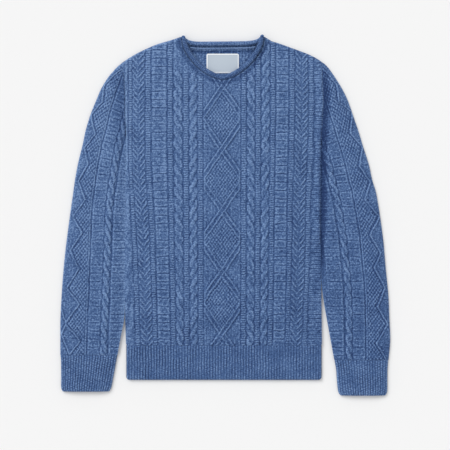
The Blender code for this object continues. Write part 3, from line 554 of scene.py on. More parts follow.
def trimmed(x, y, outline, cell):
    """Which cells of a grid lie in an outline, with the points of their border moved onto it."""
    points = np.column_stack([x.ravel(), y.ravel()])
    closed = np.vstack([outline, outline[:1]])
    gap, nearest = nearest_on(points, closed)
    good = (is_inside(points, outline) & (gap > 0.35 * cell)) | (gap < 0.55 * cell)
    good = good.reshape(x.shape)
    kept = good[:-1, :-1] & good[:-1, 1:] & good[1:, 1:] & good[1:, :-1]
    around = np.pad(kept, 1)
    touching = around[:-1, :-1].astype(int) + around[:-1, 1:] + around[1:, :-1] + around[1:, 1:]
    border = (touching > 0) & (touching < 4)
    x, y = x.copy(), y.copy()
    nearest = nearest.reshape(*x.shape, 2)
    x[border], y[border] = nearest[border, 0], nearest[border, 1]
    return x, y, kept


def uneven(x, y, size, seed):
    """Smooth unevenness between -1 and 1, in patches about this size."""
    table = np.random.default_rng(seed).uniform(-1, 1, (64, 64))
    u, v = x / size + 320.0, y / size + 320.0
    i, j = np.floor(u).astype(int), np.floor(v).astype(int)
    right, up = smoothstep(u - i), smoothstep(v - j)
    low = table[i % 64, j % 64] * (1 - right) + table[(i + 1) % 64, j % 64] * right
    high = table[i % 64, (j + 1) % 64] * (1 - right) + table[(i + 1) % 64, (j + 1) % 64] * right
    return low * (1 - up) + high * up


def hand_knitted(stitches, x, y, seed):
    """Stitches as wool takes them: a little out of place, tighter here and looser there."""
    sideways, along, tension, single = (
        much * uneven(x, y, wide, seed + 2 * k) + less * uneven(x, y, narrow, seed + 2 * k + 1)
        for k, (much, wide, less, narrow) in enumerate(UNEVENNESS)
    )
    return stitches(x + sideways, y + along) * (1.0 + tension) + single


def column_place(columns, height):
    """The columns' inner and outer distances at each height, where the panel is drawn in to the waist."""
    drawn_in = np.clip((CHEST_HEIGHT - height) / (CHEST_HEIGHT - WAIST_HEIGHT), 0, 1.3)
    return [(c[1] + drawn_in * (c[3] - c[1]), c[2] + drawn_in * (c[4] - c[2])) for c in columns]


def drift(x, y):
    """How far the laid-out panel's columns lie to the left of their even places."""
    away = np.abs(x - CENTRE_X)
    chest = 0.6 + 0.4 * bell(y, 60.0, 120.0)
    right = RIGHT_DRIFT * chest * smoothstep((away - 56.0) / 90.0) * (x > CENTRE_X)
    left = LEFT_DRIFT * smoothstep((away - 96.0) / 50.0) * smoothstep((y + 60.0) / 170.0) * (x < CENTRE_X)
    return -(right + left) * (1.0 - smoothstep((away - 172.0) / 26.0))


def lobe(phase, softness=2.4):
    """A row of rounded lobes with a crease at each whole number."""
    return 1.0 - np.abs(2.0 * (phase - np.floor(phase)) - 1.0) ** softness


def ripple(phase):
    return 0.5 + 0.5 * np.cos(2 * np.pi * phase)


def rope_stitch(u, along, lean):
    """Two round strands that cross once a pitch; u runs from -1 to 1 across the rope."""
    height = np.zeros_like(u)
    for strand in (0.0, 1.0):
        turn = np.pi * (along / ROPE_PITCH + strand)
        middle = -math.copysign(ROPE_SWING, lean) * np.cos(turn)
        beside = np.clip(np.abs(u - middle) / ROPE_STRAND, 0, 1)
        round_top = ROPE_RISE * np.sqrt(1.0 - beside**2) + 0.5 * np.sin(turn) + 0.25 * ripple(along / 4.1 + u)
        height = np.maximum(height, np.where(beside < 1.0, round_top, 0.0))
    return height


def ladder_stitch(u, along, pitch=LADDER_PITCH):
    """Broad flat rungs with a thin groove between them, and a slipped stitch up each edge."""
    phase = (along - LADDER_START) / pitch
    away = np.abs(phase - np.round(phase)) * pitch
    rung = 0.80 - bell(away, 0.0, 1.1) + 0.45 * bell(away, 2.6, 1.2) - 0.35 * bell(away, pitch / 2, 1.2)
    slipped = 0.25 * bell(np.abs(u), 0.86, 0.09)
    return (rung + slipped) * np.clip((1.0 - np.abs(u)) * 12.0, 0, 1)


def herring_stitch(u, along, width, lean):
    """Thin strokes that climb outwards from the column's middle line, on a plain ground."""
    phase = (along - lean * np.abs(u) * width / 2) / HERRING_PITCH
    away = (phase - np.round(phase)) * HERRING_PITCH
    stroke = 1.30 * bell(away, 0.0, 1.9) - 0.45 * bell(away, -3.3, 1.4)
    ends = np.clip((1.0 - np.abs(u)) * 7.0, 0, 1) * (1.0 - 0.85 * bell(u, 0.0, 0.2))
    return 0.45 + ends * stroke + 0.3 * ripple(along / TICK_PITCH) * ripple(u * width / 6.2)


def tick_stitch(u, along):
    """Purl bars one above another."""
    return 0.35 + np.clip(1.0 - np.abs(u) ** 5, 0, 1) * (0.05 + 1.15 * ripple(along / TICK_PITCH))


def moss_stitch(across, along):
    """Purl dots, each row set between the dots of the last."""
    return 0.5 + 0.5 * np.cos(2 * np.pi * across / MOSS_ACROSS) * np.cos(2 * np.pi * along / MOSS_ALONG)


def strand_form(place):
    """A lattice strand: a smooth band with a raised rib along each edge; place is square to its run."""
    away = np.abs(place)
    band = 1.25 * smoothstep((STRAND_HALF + 0.8 - away) / 1.8)
    return band + 1.35 * bell(away, STRAND_RIB, 1.15)


def moss_ground(across, along):
    return 0.1 + 1.75 * moss_stitch(across, along)


def lattice_stitch(across, along):
    """Crossing strands round diamonds of moss stitch, with plain purl in the side triangles."""
    period = DIAMOND_PITCH / DIAMOND_HALF_HEIGHT
    up = (along - FIRST_DIAMOND + DIAMOND_PITCH / 2) / DIAMOND_HALF_HEIGHT
    slope = across / DIAMOND_HALF_WIDTH
    square_to = 1.0 / math.hypot(1 / DIAMOND_HALF_WIDTH, 1 / DIAMOND_HALF_HEIGHT)

    def from_strand(scale):
        return ((scale + period / 2) % period - period / 2) * square_to

    rising, falling = from_strand(up - slope), from_strand(up + slope)
    over = strand_form(rising)
    clear = smoothstep((np.abs(rising) - STRAND_HALF + 1.2) / 1.2)
    under = strand_form(falling) * clear
    in_diamond = np.abs(((along - FIRST_DIAMOND + DIAMOND_PITCH / 2) % DIAMOND_PITCH) - DIAMOND_PITCH / 2)
    moss_here = np.abs(across) / DIAMOND_HALF_WIDTH + in_diamond / DIAMOND_HALF_HEIGHT < MOSS_REACH
    plain = 0.35 + 0.35 * ripple(across / PLAIN_ACROSS) + 0.25 * ripple(along / PLAIN_ALONG)
    moss = np.where(moss_here, moss_ground(across, along), plain)
    return np.maximum(np.maximum(over, under), moss)


def front_stitches(x, y):
    """Height of all the front's stitches over the plain ground."""
    off = x - CENTRE_X
    distance, side = np.abs(off), np.sign(off)
    height = np.full_like(x, 0.15)
    for column, (inner, outer) in zip(FRONT_COLUMNS, column_place(FRONT_COLUMNS, y)):
        stitch, lean = column[0], column[5]
        width = outer - inner
        u = np.clip((2 * distance - inner - outer) / width, -1, 1)
        here = (distance >= inner) & (distance < outer)
        if stitch == "lattice":
            form = lattice_stitch(off, y) * np.clip((outer - distance) / 0.8, 0, 1)
        elif stitch == "rope":
            form = rope_stitch(u, y + np.where(side > 0, RIGHT_ROPE_SHIFT, 0.0), lean)
        elif stitch == "ladder":
            form = ladder_stitch(u, y)
        elif stitch == "herringbone":
            form = herring_stitch(u, y, width, lean)
        elif stitch == "tick":
            form = tick_stitch(u, y)
        else:
            bars = 0.7 * ladder_stitch(0.0, y, LADDER_PITCH / 2)
            form = np.where(side > 0, bars, 0.5 + 0.4 * ripple(off / PLAIN_ACROSS))
        height = np.where(here, form, height)
    yoke = (side < 0) * smoothstep((y - YOKE_START) / 8.0) * smoothstep((YOKE_HALF - distance) / 6.0)
    return height + (0.5 + 0.3 * ripple(off / PLAIN_ACROSS) - height) * 0.8 * yoke


def body_top(points, lines, relief):
    """Height of the front's outer surface, rounded off at its edges and rolled up along the right sleeve."""
    shoulders = [line[line[:, 1] > SHOULDER_END] for line in (lines["right"], lines["left"])]
    beside = [line[line[:, 1] <= SHOULDER_END + 8.0] for line in (lines["right"], lines["left"])]
    puff = smoothstep(reach_of(points, shoulders + beside) / BODY_PUFF_REACH)
    puff = puff * smoothstep((points[:, 1] - HEM_SEAM) / BODY_PUFF_REACH)
    full = FRONT_FLOOR + BODY_PUFF * puff + CLOTH_WALL + relief
    along = smoothstep((points[:, 1] + 90.0) / 90.0) * smoothstep((296.0 - points[:, 1]) / 40.0)
    from_right = nearest_on(points, beside[0])[0]
    full = full + EDGE_ROLL * along * bell(from_right, 5.0, 6.5)
    rounded = full - (full - BACK_TOP - 0.5) * rounding(points, shoulders, SIDE_RADIUS)
    rounded = np.minimum(rounded, full - (full - BESIDE_LIP) * rounding(points, beside, BESIDE_RADIUS))
    at_neck = SEAM_SINK * rounding(points, [lines["neck"]], SEAM_RADIUS)
    at_hem = LINKED_SINK * rounding(points, [lines["hem"]], LINKED_RADIUS)
    return np.minimum(rounded, full - np.maximum(at_neck, at_hem))


def knit_front():
    lines = body_lines(neck_front_line())
    outline = outline_of(lines)
    rows = np.arange(HEM_SEAM, NECK_TOP + 2 * ROW_STEP, ROW_STEP)
    half = []
    for column, (inner, outer) in zip(FRONT_COLUMNS, column_place(FRONT_COLUMNS, rows)):
        shares = np.linspace(0, 1, column[6])
        half.append(inner[:, None] + shares * (outer - inner)[:, None])
    half = np.hstack(half)[:, 1:]
    x = CENTRE_X + np.hstack([-half[:, ::-1], np.zeros((len(rows), 1)), half])
    y = np.repeat(rows[:, None], x.shape[1], 1)
    even = x
    for _ in range(3):
        x = even + drift(x, y)
    x, y, kept = trimmed(x, y, outline, 1.6)
    stitches = hand_knitted(front_stitches, x - drift(x, y), y, 10)
    points = np.column_stack([x.ravel(), y.ravel()])
    inside = np.clip((reach_of(points, [lines["right"], lines["left"], lines["neck"]]) - 0.5) / 2.5, 0, 1)
    top = body_top(points, lines, stitches.ravel() * inside).reshape(x.shape)
    below_roll, from_left, from_right = (
        nearest_on(points, lines[key])[0].reshape(x.shape) for key in ("neck", "left", "right")
    )
    # painted shade in hollows and painted highlight on raised stitches, painted shade below the neck roll and
    # along the right side by the sleeve, and a painted highlight along the left side
    crest = crest_of(stitches) - ROLL_SHADE[0] * bell(below_roll, *ROLL_SHADE[1:])
    crest += SIDE_PALE[0] * bell(from_left, 0.0, SIDE_PALE[1])
    beside_sleeve = smoothstep((240.0 - y) / 60.0) * smoothstep((y + 160.0) / 60.0)
    crest -= SIDE_SHADE[0] * bell(from_right, 0.0, SIDE_SHADE[1]) * beside_sleeve
    knit = Knit()
    border, rim = knit.add_grid(x, y, top, crest, kept)

    def inside_height(flat):
        puff = smoothstep(reach_of(flat, [lines["right"], lines["left"]]) / BODY_PUFF_REACH)
        return FRONT_FLOOR + BODY_PUFF * puff * smoothstep((flat[:, 1] - HEM_SEAM) / BODY_PUFF_REACH)

    edge = rim[:, :2]
    knit.add_lining(border, edge, inside_height, 30.0, np.minimum(inside_height(edge), rim[:, 2] - 0.2))
    return knit.make("front_knit", body_yarn)


body_yarn = yarn_material("body_yarn", PLAIN_ACROSS, PLAIN_ALONG)
front = knit_front()
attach(front, "root")
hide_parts("front_panel")


# The back
# A second panel of the same outline under the front. Its inside faces up and shows only in the neck, where
# the columns run as faint ribs. Its outer face lies flat on the table.

BACK_LIP = 2.2
SEEN_HEIGHT = 262.0  # the neck shows the back above this and this far to each side
SEEN_HALF = 92.0
BACK_HALF = 212.0
BACK_STEPS = (8.0, 9.0)  # mesh steps across and along where it is covered, and where it shows
BACK_SEEN_STEPS = (1.5, 1.3)
BACK_LOW, BACK_HIGH = 2.2, 3.7  # its knit stays between these, so that it clears the label
BACK_SHADE = (1.3, 10.8, 3.4)  # the hollow below the linking, sunk a little and darkened as painted shade: how dark, how far from the neckline, spread
BACK_PALE = (0.9, 6.0, 2.2)  # and the lit wool above it


def back_stitches(x, y):
    return 1.5 + 0.4 * ripple(x / (2 * PLAIN_ACROSS)) + 0.3 * ripple(y / TICK_PITCH)


def knit_back():
    lines = body_lines(neck_back_line())
    outline = outline_of(lines)
    across, along = BACK_STEPS
    seen_across, seen_along = BACK_SEEN_STEPS
    rows = [np.arange(HEM_SEAM, SEEN_HEIGHT, along), np.arange(SEEN_HEIGHT, NECK_TOP + 4, seen_along)]
    columns = [
        np.arange(-BACK_HALF, -SEEN_HALF, across),
        np.arange(-SEEN_HALF, SEEN_HALF, seen_across),
        np.arange(SEEN_HALF, BACK_HALF, across),
    ]
    x, y = np.meshgrid(CENTRE_X + np.concatenate(columns), np.concatenate(rows))
    x, y, kept = trimmed(x, y, outline, 1.8)
    stitches = 0.8 * hand_knitted(back_stitches, x, y, 90)
    points = np.column_stack([x.ravel(), y.ravel()])
    sides = [lines["right"], lines["left"]]
    inside = smoothstep((reach_of(points, sides) - 4.0) / 10.0)
    seen = smoothstep((points[:, 1] - SEEN_HEIGHT) / 14.0)
    seen = seen * smoothstep((SEEN_HALF - np.abs(points[:, 0] - CENTRE_X)) / 8.0)
    top = (BACK_TOP + (stitches.ravel() - 1.4) * 0.5 * inside * seen).reshape(x.shape)
    knit = Knit()
    below_roll = nearest_on(points, lines["neck"])[0].reshape(x.shape)
    # below the linking the back dips a little and is painted darker as painted shade, with a painted
    # highlight above it
    shade = BACK_SHADE[0] * bell(below_roll, *BACK_SHADE[1:])
    crest = crest_of(stitches) - shade + BACK_PALE[0] * bell(below_roll, *BACK_PALE[1:])
    border, rim = knit.add_grid(x, y, np.clip(top, BACK_LOW, BACK_HIGH) - 0.6 * shade, crest, kept)
    edge = rim[:, :2]
    closed = np.vstack([edge, edge[:1]])

    def under(flat):
        return BACK_LIP * rounding(flat, [closed], SIDE_RADIUS)

    knit.add_lining(border, edge, under, 9.0)
    return knit.make("back_knit", body_yarn)


back = knit_back()
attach(back, "root")
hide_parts("back_panel")


# The hem
# A welt of single rib below each panel, knitted on finer needles, so that it is firmer and thinner. The
# front's and the back's lie on each other, and the bottom edge is the soft start of the knitting.

HEM_LEFT = CENTRE_X - BODY_EDGE[-1][1]
HEM_RIGHT = CENTRE_X + BODY_EDGE[-1][2]
HEM_TOP = HEM_SEAM
HEM_END = -329.0
HEM_CORNER = 7.0
HEM_RIBS = 70
HEM_STEP = (0.93, 1.2)  # mesh steps across and along
HEM_UNDER_STEP = (6.0, 6.0)
RIB_FORM = 1.15
RIB_ACROSS = 2.8


def rib_stitch(share, ribs, along):
    """Single rib: a round wale, then a narrow hollow, with the small stitches of each row on the wales."""
    wale = lobe(share * ribs, 2.6)
    return RIB_FORM * wale + 0.45 * wale * ripple(along / TICK_PITCH + 0.5 * np.floor(share * ribs))


def hem_outline():
    """The welt's outline, with its two lower corners rounded."""
    turn = np.radians(np.linspace(0, 90, 6))
    from_sine, from_cosine = HEM_CORNER * (1 - np.sin(turn)), HEM_CORNER * (1 - np.cos(turn))
    corner_right = np.column_stack([HEM_RIGHT - from_sine, HEM_END + from_cosine])
    corner_left = np.column_stack([HEM_LEFT + from_cosine, HEM_END + from_sine])
    return np.vstack([corner_right, [(HEM_RIGHT, HEM_TOP), (HEM_LEFT, HEM_TOP)], corner_left])


def knit_hem(name, floor, lip, front_side):
    """One welt: ribbed on top if it is the front's, and flat below if it is the back's."""
    outline = hem_outline()
    ring = np.vstack([outline, outline[:1]])
    step = HEM_STEP if front_side else HEM_UNDER_STEP
    across = np.arange(HEM_LEFT - step[0], HEM_RIGHT + 2 * step[0], step[0])
    rows = np.arange(HEM_END - step[1], HEM_TOP + 2 * step[1], step[1])
    x, y = np.meshgrid(across, rows)
    x, y, kept = trimmed(x, y, outline, max(step))
    points = np.column_stack([x.ravel(), y.ravel()])
    gap = nearest_on(points, ring)[0]

    def stitches_at(u, v):
        return rib_stitch((u - HEM_LEFT) / (HEM_RIGHT - HEM_LEFT), HEM_RIBS, v)

    ribs = hand_knitted(stitches_at, points[:, 0], points[:, 1], 70)
    sides = [np.array([(edge_x, HEM_TOP), (edge_x, HEM_END)]) for edge_x in (HEM_RIGHT, HEM_LEFT)]
    knit = Knit()
    if front_side:
        full = floor + CLOTH_WALL + ribs * np.clip(gap / 2.5, 0, 1)
        end = np.array([(HEM_LEFT, HEM_END), (HEM_RIGHT, HEM_END)])
        top = full - (full - floor - lip) * rounding(points, sides, SIDE_RADIUS)
        top = np.minimum(top, full - SEAM_SINK * rounding(points, [end], SEAM_RADIUS))
        lower_height = lambda flat: np.full(len(flat), floor)
        # painted shade in the rib hollows and painted highlight on the wales
        crest = crest_of(ribs.reshape(x.shape), 2, 3, 0.9)
    else:
        top = np.full(len(points), floor + CLOTH_WALL)
        lower_height = lambda flat: floor + lip * rounding(flat, sides, SIDE_RADIUS)
        crest = np.zeros(x.shape)
    border, rim = knit.add_grid(x, y, top.reshape(x.shape), crest, kept)
    knit.add_lining(border, rim[:, :2], lower_height, 12.0)
    return knit.make(name, rib_yarn)


# the rib yarn is painted a little darker, as painted shade in the ribs' hollows
rib_yarn = yarn_material("rib_yarn", RIB_ACROSS, PLAIN_ALONG, 0.75, paler=-0.04)
for name, floor, lip, node, under in (
    ("hem_back_knit", 0.0, BACK_LIP, "hem_rib_back", "table"),
    ("hem_front_knit", FRONT_FLOOR, 0.5, "hem_rib_front", "hem_rib_back"),
):
    hem = knit_hem(name, floor, lip, node == "hem_rib_front")
    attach(hem, "root")
    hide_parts(node)


# The sleeves
# Each is one knitted piece sewn into a tube and set in at the armhole, here pressed flat beside the body.
# Down it run half a diamond panel, a ladder, a rope and a second ladder, and its rows slope at the top.

SLEEVE_WALL = 2.8
SLEEVE_GAP = 0.6
SLEEVE_PUFF = 3.2
SLEEVE_PUFF_REACH = 26.0
OUTER_FOLD = (6.0, 2.2)  # radius and height of the fold
BODY_SIDE_FOLD = {"left": (1.6, 6.0), "right": (2.4, 5.2)}
# painted shade where a sleeve dips beside the body
TUCK_SHADE = 0.6
FOLD_PALE = (0.7, 2.2)  # the folds' fuzz catches the light: how much, spread
UNDER_FOLD = -1.5
GROOVE_HALF_WIDTH = 1.3
GROOVE_DEPTH = 1.3
ROW_SLANT = 0.38
SLANT_TOP = 200.0
SLANT_END = 20.0
SLEEVE_STEP = 1.4
SLEEVE_ARMPIT = 141.0
LINING_EVERY = 7  # the lining's fold takes one point for so many of the outside's
SLEEVE_EDGES = {
    "left": (
        # height, outer fold, groove, body side, from the centre line
        (304.0, 203.0, 190.0, 202.6),
        (295.0, 212.8, 194.0, 200.2),
        (287.0, 219.4, 197.6, 198.6),
        (279.0, 226.6, 201.0, 197.4),
        (255.0, 241.6, 208.6, 195.5),
        (231.0, 252.0, 216.2, 195.1),
        (201.0, 264.0, 225.6, 194.9),
        (171.0, 273.0, 232.0, 193.5),
        (141.0, 279.5, 240.2, 192.6),
        (111.0, 287.0, 246.2, 192.9),
        (81.0, 293.0, 250.8, 193.0),
        (47.0, 298.0, 256.0, 193.4),
        (1.0, 304.5, 260.6, 193.8),
        (-69.0, 313.6, 263.0, 194.4),
        (-139.0, 320.0, 265.6, 194.7),
        (-201.0, 323.5, 268.2, 195.6),
        (-233.0, 324.0, 269.6, 201.0),
        (-279.0, 324.0, 271.0, 209.5),
    ),
    "right": (
        (306.8, 202.6, 180.0, 202.2),
        (303.0, 206.2, 181.0, 202.0),
        (295.0, 213.8, 184.0, 201.6),
        (279.0, 225.0, 190.0, 201.7),
        (255.0, 240.0, 198.0, 202.5),
        (231.0, 251.8, 206.0, 203.5),
        (199.0, 263.0, 216.6, 202.5),
        (167.0, 274.0, 227.0, 200.4),
        (141.0, 281.7, 234.6, 198.6),
        (103.0, 294.0, 246.0, 198.3),
        (71.0, 301.0, 253.6, 198.2),
        (39.0, 310.0, 261.6, 198.0),
        (-41.0, 322.0, 275.4, 197.7),
        (-105.0, 328.0, 281.6, 198.4),
        (-139.0, 331.4, 284.5, 200.0),
        (-169.0, 334.0, 286.0, 203.4),
        (-205.0, 335.2, 287.0, 209.6),
        (-249.0, 337.0, 287.5, 217.6),
        (-289.0, 333.6, 287.5, 225.0),
    ),
}
ZIGZAG_TURNS = {
    # height of each turn, and its distance from the outer fold
    "left": (
        (292, 16), (262, 4), (227, 16), (201, 3), (162, 23), (135, 7), (102, 22), (68, 9), (32, 29), (-2, 8),
        (-34, 31), (-71, 12), (-106, 33), (-145, 12), (-177, 39), (-215, 12), (-250, 42), (-279, 20),
    ),
    "right": (
        (292, 14), (262, 8), (227, 22), (207, 1), (164, 20), (136, 4), (99, 22), (66, 7), (33, 28), (-4, 3),
        (-39, 28), (-74, 9), (-104, 25), (-145, 8), (-181, 26), (-217, 6), (-255, 30), (-289, 6),
    ),
}
CROSSINGS = {"left": ((-215.0, 12.5), (-279.0, 20.0)), "right": ()}  # turns where a second line crosses
CROSSING_SLOPE = 0.42
ZIGZAG_LINE = (1.9, -1.7, 1.9, 4)  # the raised line: height, place beside the zigzag, half width, power
ZIGZAG_HOLLOW = (1.9, 1.9, 1.4)
CROSSING_LINE = (1.8, 0.0, 1.8, 4)
CROSSING_HOLLOW = (1.4, -2.9, 1.4)
GROOVE_WELT = (1.5, -2.6, 1.2)
SLEEVE_ROPE = (1.45, -0.4)  # how much the rope's form is raised, and its ground
SLEEVE_LADDER = 0.6
SLEEVE_COLUMNS = (
    # stitch, from the groove towards the body: start, end
    ("ladder", 1.8, 25.0),
    ("rope", 26.4, 40.6),
    ("ladder", 44.0, 75.0),
)
GROOVES = (0.2, 42.2)
TUCK_DEPTH = {"left": 1.2, "right": 3.0}  # the sleeves dip beside the body, the right one in a fold
TUCK_LOW = {"left": 90.0, "right": -165.0}
TUCK_HIGH = 305.0
TUCK_FLAT = 4.5
TUCK_REACH = {"left": 24.0, "right": 13.0}


def read_at(rows, column, height):
    ordered = sorted(rows)
    return np.interp(height, [row[0] for row in ordered], [row[column] for row in ordered])


def sleeve_stitches(side_name, side, x, y):
    """Height of one sleeve's stitches over its plain ground."""
    rows, turns = SLEEVE_EDGES[side_name], ZIGZAG_TURNS[side_name]
    distance = side * (x - CENTRE_X)
    past_groove = read_at(rows, 2, y) - distance
    from_fold = read_at(rows, 1, y) - distance
    slant = ROW_SLANT * np.clip((y - SLANT_END) / (SLANT_TOP - SLANT_END), 0, 1)
    level = y + slant * past_groove
    zigzag = from_fold - read_at(turns, 1, y)
    outer = 0.25 * ripple(past_groove / PLAIN_ACROSS) + 0.2 * ripple(level / PLAIN_ALONG)
    outer = 0.5 * np.clip(from_fold / 8.0, 0, 1) + outer
    height = np.where(zigzag > 0.5, moss_ground(past_groove, level), outer)
    height = height - ZIGZAG_HOLLOW[0] * bell(zigzag, *ZIGZAG_HOLLOW[1:])
    height = np.maximum(height, ZIGZAG_LINE[0] * bell(zigzag, *ZIGZAG_LINE[1:]))
    for turn_height, out in CROSSINGS[side_name]:
        crossing = from_fold - out + CROSSING_SLOPE * np.abs(y - turn_height)
        crossed = height - CROSSING_HOLLOW[0] * bell(crossing, *CROSSING_HOLLOW[1:])
        crossed = np.maximum(crossed, CROSSING_LINE[0] * bell(crossing, *CROSSING_LINE[1:]))
        height = np.where(zigzag < -1.0, crossed, height)
    welt = GROOVE_WELT[0] * bell(past_groove, *GROOVE_WELT[1:]) * (0.6 + 0.4 * ripple(level / TICK_PITCH))
    height = np.where(past_groove > -4.6, np.maximum(0.3, welt), height)
    for stitch, start, end in SLEEVE_COLUMNS:
        here = (past_groove >= start) & (past_groove < end)
        u = np.clip((2 * past_groove - start - end) / (end - start), -1, 1)
        rope = SLEEVE_ROPE[0] * rope_stitch(u, level, side) + SLEEVE_ROPE[1]
        form = rope if stitch == "rope" else SLEEVE_LADDER * ladder_stitch(u, level)
        height = np.where(here, form, height)
    for middle in GROOVES:
        height -= GROOVE_DEPTH * bell(past_groove, middle, GROOVE_HALF_WIDTH)
    return height


def knit_tube(name, x, y, kept, stitches, folds, bends, opens, tuck, material):
    """A flattened tube with real walls: stitches on the upper skin, plain skins elsewhere, open ends."""
    ceiling = SLEEVE_WALL + SLEEVE_GAP
    points = np.column_stack([x.ravel(), y.ravel()])

    def swell(flat):
        return SLEEVE_PUFF * smoothstep(reach_of(flat, folds) / SLEEVE_PUFF_REACH)

    def at_fold(flat, level, less=0.0, lines=folds):
        for line, (radius, height) in zip(lines, bends):
            meets = np.where(level > 0.1, np.minimum(height, level + 0.2), height)
            level = level + (meets - level) * rounding(flat, [line], radius - less)
        return level

    inside = np.clip((reach_of(points, folds + opens) - 0.5) / 3.0, 0, 1)
    sunk = tuck(points)
    level = ceiling + swell(points) + SLEEVE_WALL + stitches.ravel() * inside * (1 - 0.15 * sunk) - sunk
    level -= LINKED_SINK * rounding(points, opens, LINKED_RADIUS)
    top = at_fold(points, level).reshape(x.shape)
    knit = Knit()
    # painted shade in hollows and where the sleeve dips beside the body, painted highlight on raised stitches
    # and along the folds
    crest = crest_of(stitches) - (TUCK_SHADE * sunk).reshape(x.shape)
    crest += FOLD_PALE[0] * bell(reach_of(points, folds), 0.0, FOLD_PALE[1]).reshape(x.shape)
    upper, rim = knit.add_grid(x, y, top, crest, kept)
    edge = rim[:, :2]
    is_open = reach_of(edge, folds) > 0.6
    turn = int(np.nonzero(~is_open)[0][0])
    edge, upper, is_open = np.roll(edge, -turn, 0), np.roll(upper, -turn), np.roll(is_open, -turn)

    def bottom(flat):
        return at_fold(flat, np.zeros(len(flat)), UNDER_FOLD)

    lower = upper.copy()
    lower[is_open] = knit.add_points(np.column_stack([edge[is_open], bottom(edge[is_open])]))
    knit.add_plain(lower, edge, bottom, 16.0)

    inset = inset_line(np.vstack([edge[-1:], edge, edge[:1]]), SLEEVE_WALL)[1:-1]
    near_open = reach_of(edge, opens) < 3.0 * SLEEVE_WALL
    hollow, sources, runs, k = [], [], [], 0
    count = len(edge)
    while k < count:
        if not is_open[k] and is_open[(k + 1) % count]:
            run = [k]
            while is_open[(run[-1] + 1) % count]:
                run.append((run[-1] + 1) % count)
            run.append((run[-1] + 1) % count)
            line = edge[run]
            walked = np.concatenate([[0.0], np.cumsum(np.linalg.norm(np.diff(line, axis=0), axis=1))])
            ends = 1.5 * SLEEVE_WALL
            places = ends + walked / walked[-1] * (walked[-1] - 2 * ends)
            first = len(hollow)
            hollow += [(np.interp(p, walked, line[:, 0]), np.interp(p, walked, line[:, 1])) for p in places]
            sources += [False] + [True] * (len(run) - 2) + [False]
            runs.append((run, list(range(first, len(hollow)))))
            k += len(run) - 1
        elif not near_open[k] and k % LINING_EVERY == 0:
            hollow.append(tuple(inset[k]))
            sources.append(False)
        k += 1
    hollow, at_end = np.array(hollow), np.array(sources)
    inner_folds = [np.array(line) for line in split_folds(hollow, at_end)]

    def inner_top(flat):
        return at_fold(flat, ceiling + swell(flat) - 0.6 * tuck(flat), 0.5, inner_folds) - 0.2

    def inner_bottom(flat):
        return at_fold(flat, SLEEVE_WALL - 0.5 * tuck(flat), 0.5, inner_folds)

    lining_upper = knit.add_points(np.column_stack([hollow, inner_top(hollow)]))
    lining_lower = lining_upper.copy()
    lining_lower[at_end] = knit.add_points(np.column_stack([hollow[at_end], inner_bottom(hollow[at_end])]))
    knit.add_plain(lining_upper, hollow, inner_top, 20.0)
    knit.add_plain(lining_lower, hollow, inner_bottom, 20.0)
    for run, places in runs:
        knit.join(upper[run], lining_upper[places])
        knit.join(lower[run], lining_lower[places])
    return knit.make(name, material)


def split_folds(hollow, at_end):
    """The hollow's fold lines, which run between its open ends."""
    count = len(hollow)
    starts = [k for k in range(count) if at_end[k - 1] and not at_end[k]]
    lines = []
    for start in starts:
        line, k = [hollow[start]], (start + 1) % count
        while not at_end[k]:
            line.append(hollow[k])
            k = (k + 1) % count
        lines.append(line)
    return lines


def knit_sleeve(side_name, side):
    rows = SLEEVE_EDGES[side_name]
    outer = smooth_line([(CENTRE_X + side * row[1], row[0]) for row in rows])
    body_side = smooth_line([(CENTRE_X + side * (row[3] - SEAM_CLOSED), row[0]) for row in rows])
    outer[0] = body_side[0]
    armhole = body_side[body_side[:, 1] >= SLEEVE_ARMPIT]
    inner_fold = body_side[body_side[:, 1] <= SLEEVE_ARMPIT]
    wrist = np.array([outer[-1], body_side[-1]])
    outline = np.vstack([outer, body_side[:0:-1]])
    if side > 0:
        outline = outline[::-1]
    heights = np.arange(rows[-1][0], rows[0][0] + 2 * SLEEVE_STEP, SLEEVE_STEP)
    offsets = np.arange(84.0, -64.0, -SLEEVE_STEP)
    x = CENTRE_X + side * (read_at(rows, 2, heights)[:, None] - side * offsets[None, :])
    y = np.repeat(heights[:, None], len(offsets), 1)
    x, y, kept = trimmed(x, y, outline, SLEEVE_STEP)

    def tuck(flat):
        narrowed = TUCK_REACH[side_name] * (0.35 + 0.65 * smoothstep((flat[:, 1] + 70.0) / 90.0))
        beside = 1.0 - smoothstep((nearest_on(flat, body_side)[0] - TUCK_FLAT) / narrowed)
        along = smoothstep((flat[:, 1] - TUCK_LOW[side_name]) / 110.0)
        along = along * smoothstep((TUCK_HIGH - flat[:, 1]) / 40.0)
        return TUCK_DEPTH[side_name] * beside * along

    stitches = hand_knitted(lambda u, v: sleeve_stitches(side_name, side, u, v), x, y, 30 + side)
    folds, bends = [outer, inner_fold], (OUTER_FOLD, BODY_SIDE_FOLD[side_name])
    name, opens = f"sleeve_{side_name}_knit", [armhole, wrist]
    return knit_tube(name, x, y, kept, stitches, folds, bends, opens, tuck, body_yarn)


for side_name, side, around, length, area in (
    ("left", -1, 0.240, 0.582, 0.1115),
    ("right", 1, 0.240, 0.595, 0.1130),
):
    sleeve = knit_sleeve(side_name, side)
    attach(sleeve, "root")
    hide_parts(f"sleeve_{side_name}")


# The cuffs
# A tube of single rib below each sleeve, drawn in to the wrist, with its end open.

CUFF_EDGES = {
    "left": (
        # height, outer fold, body side
        (-279.3, 323.6, 209.6),
        (-293.0, 322.6, 212.0),
        (-325.0, 322.4, 218.0),
        (-345.0, 322.2, 222.0),
        (-352.0, 319.5, 226.0),
    ),
    "right": (
        (-289.3, 333.0, 225.2),
        (-309.0, 331.6, 228.6),
        (-329.0, 331.4, 230.0),
        (-352.0, 331.0, 232.6),
        (-360.0, 327.5, 237.0),
    ),
}
CUFF_RIBS = {"left": 21, "right": 20}
CUFF_ROWS = 60


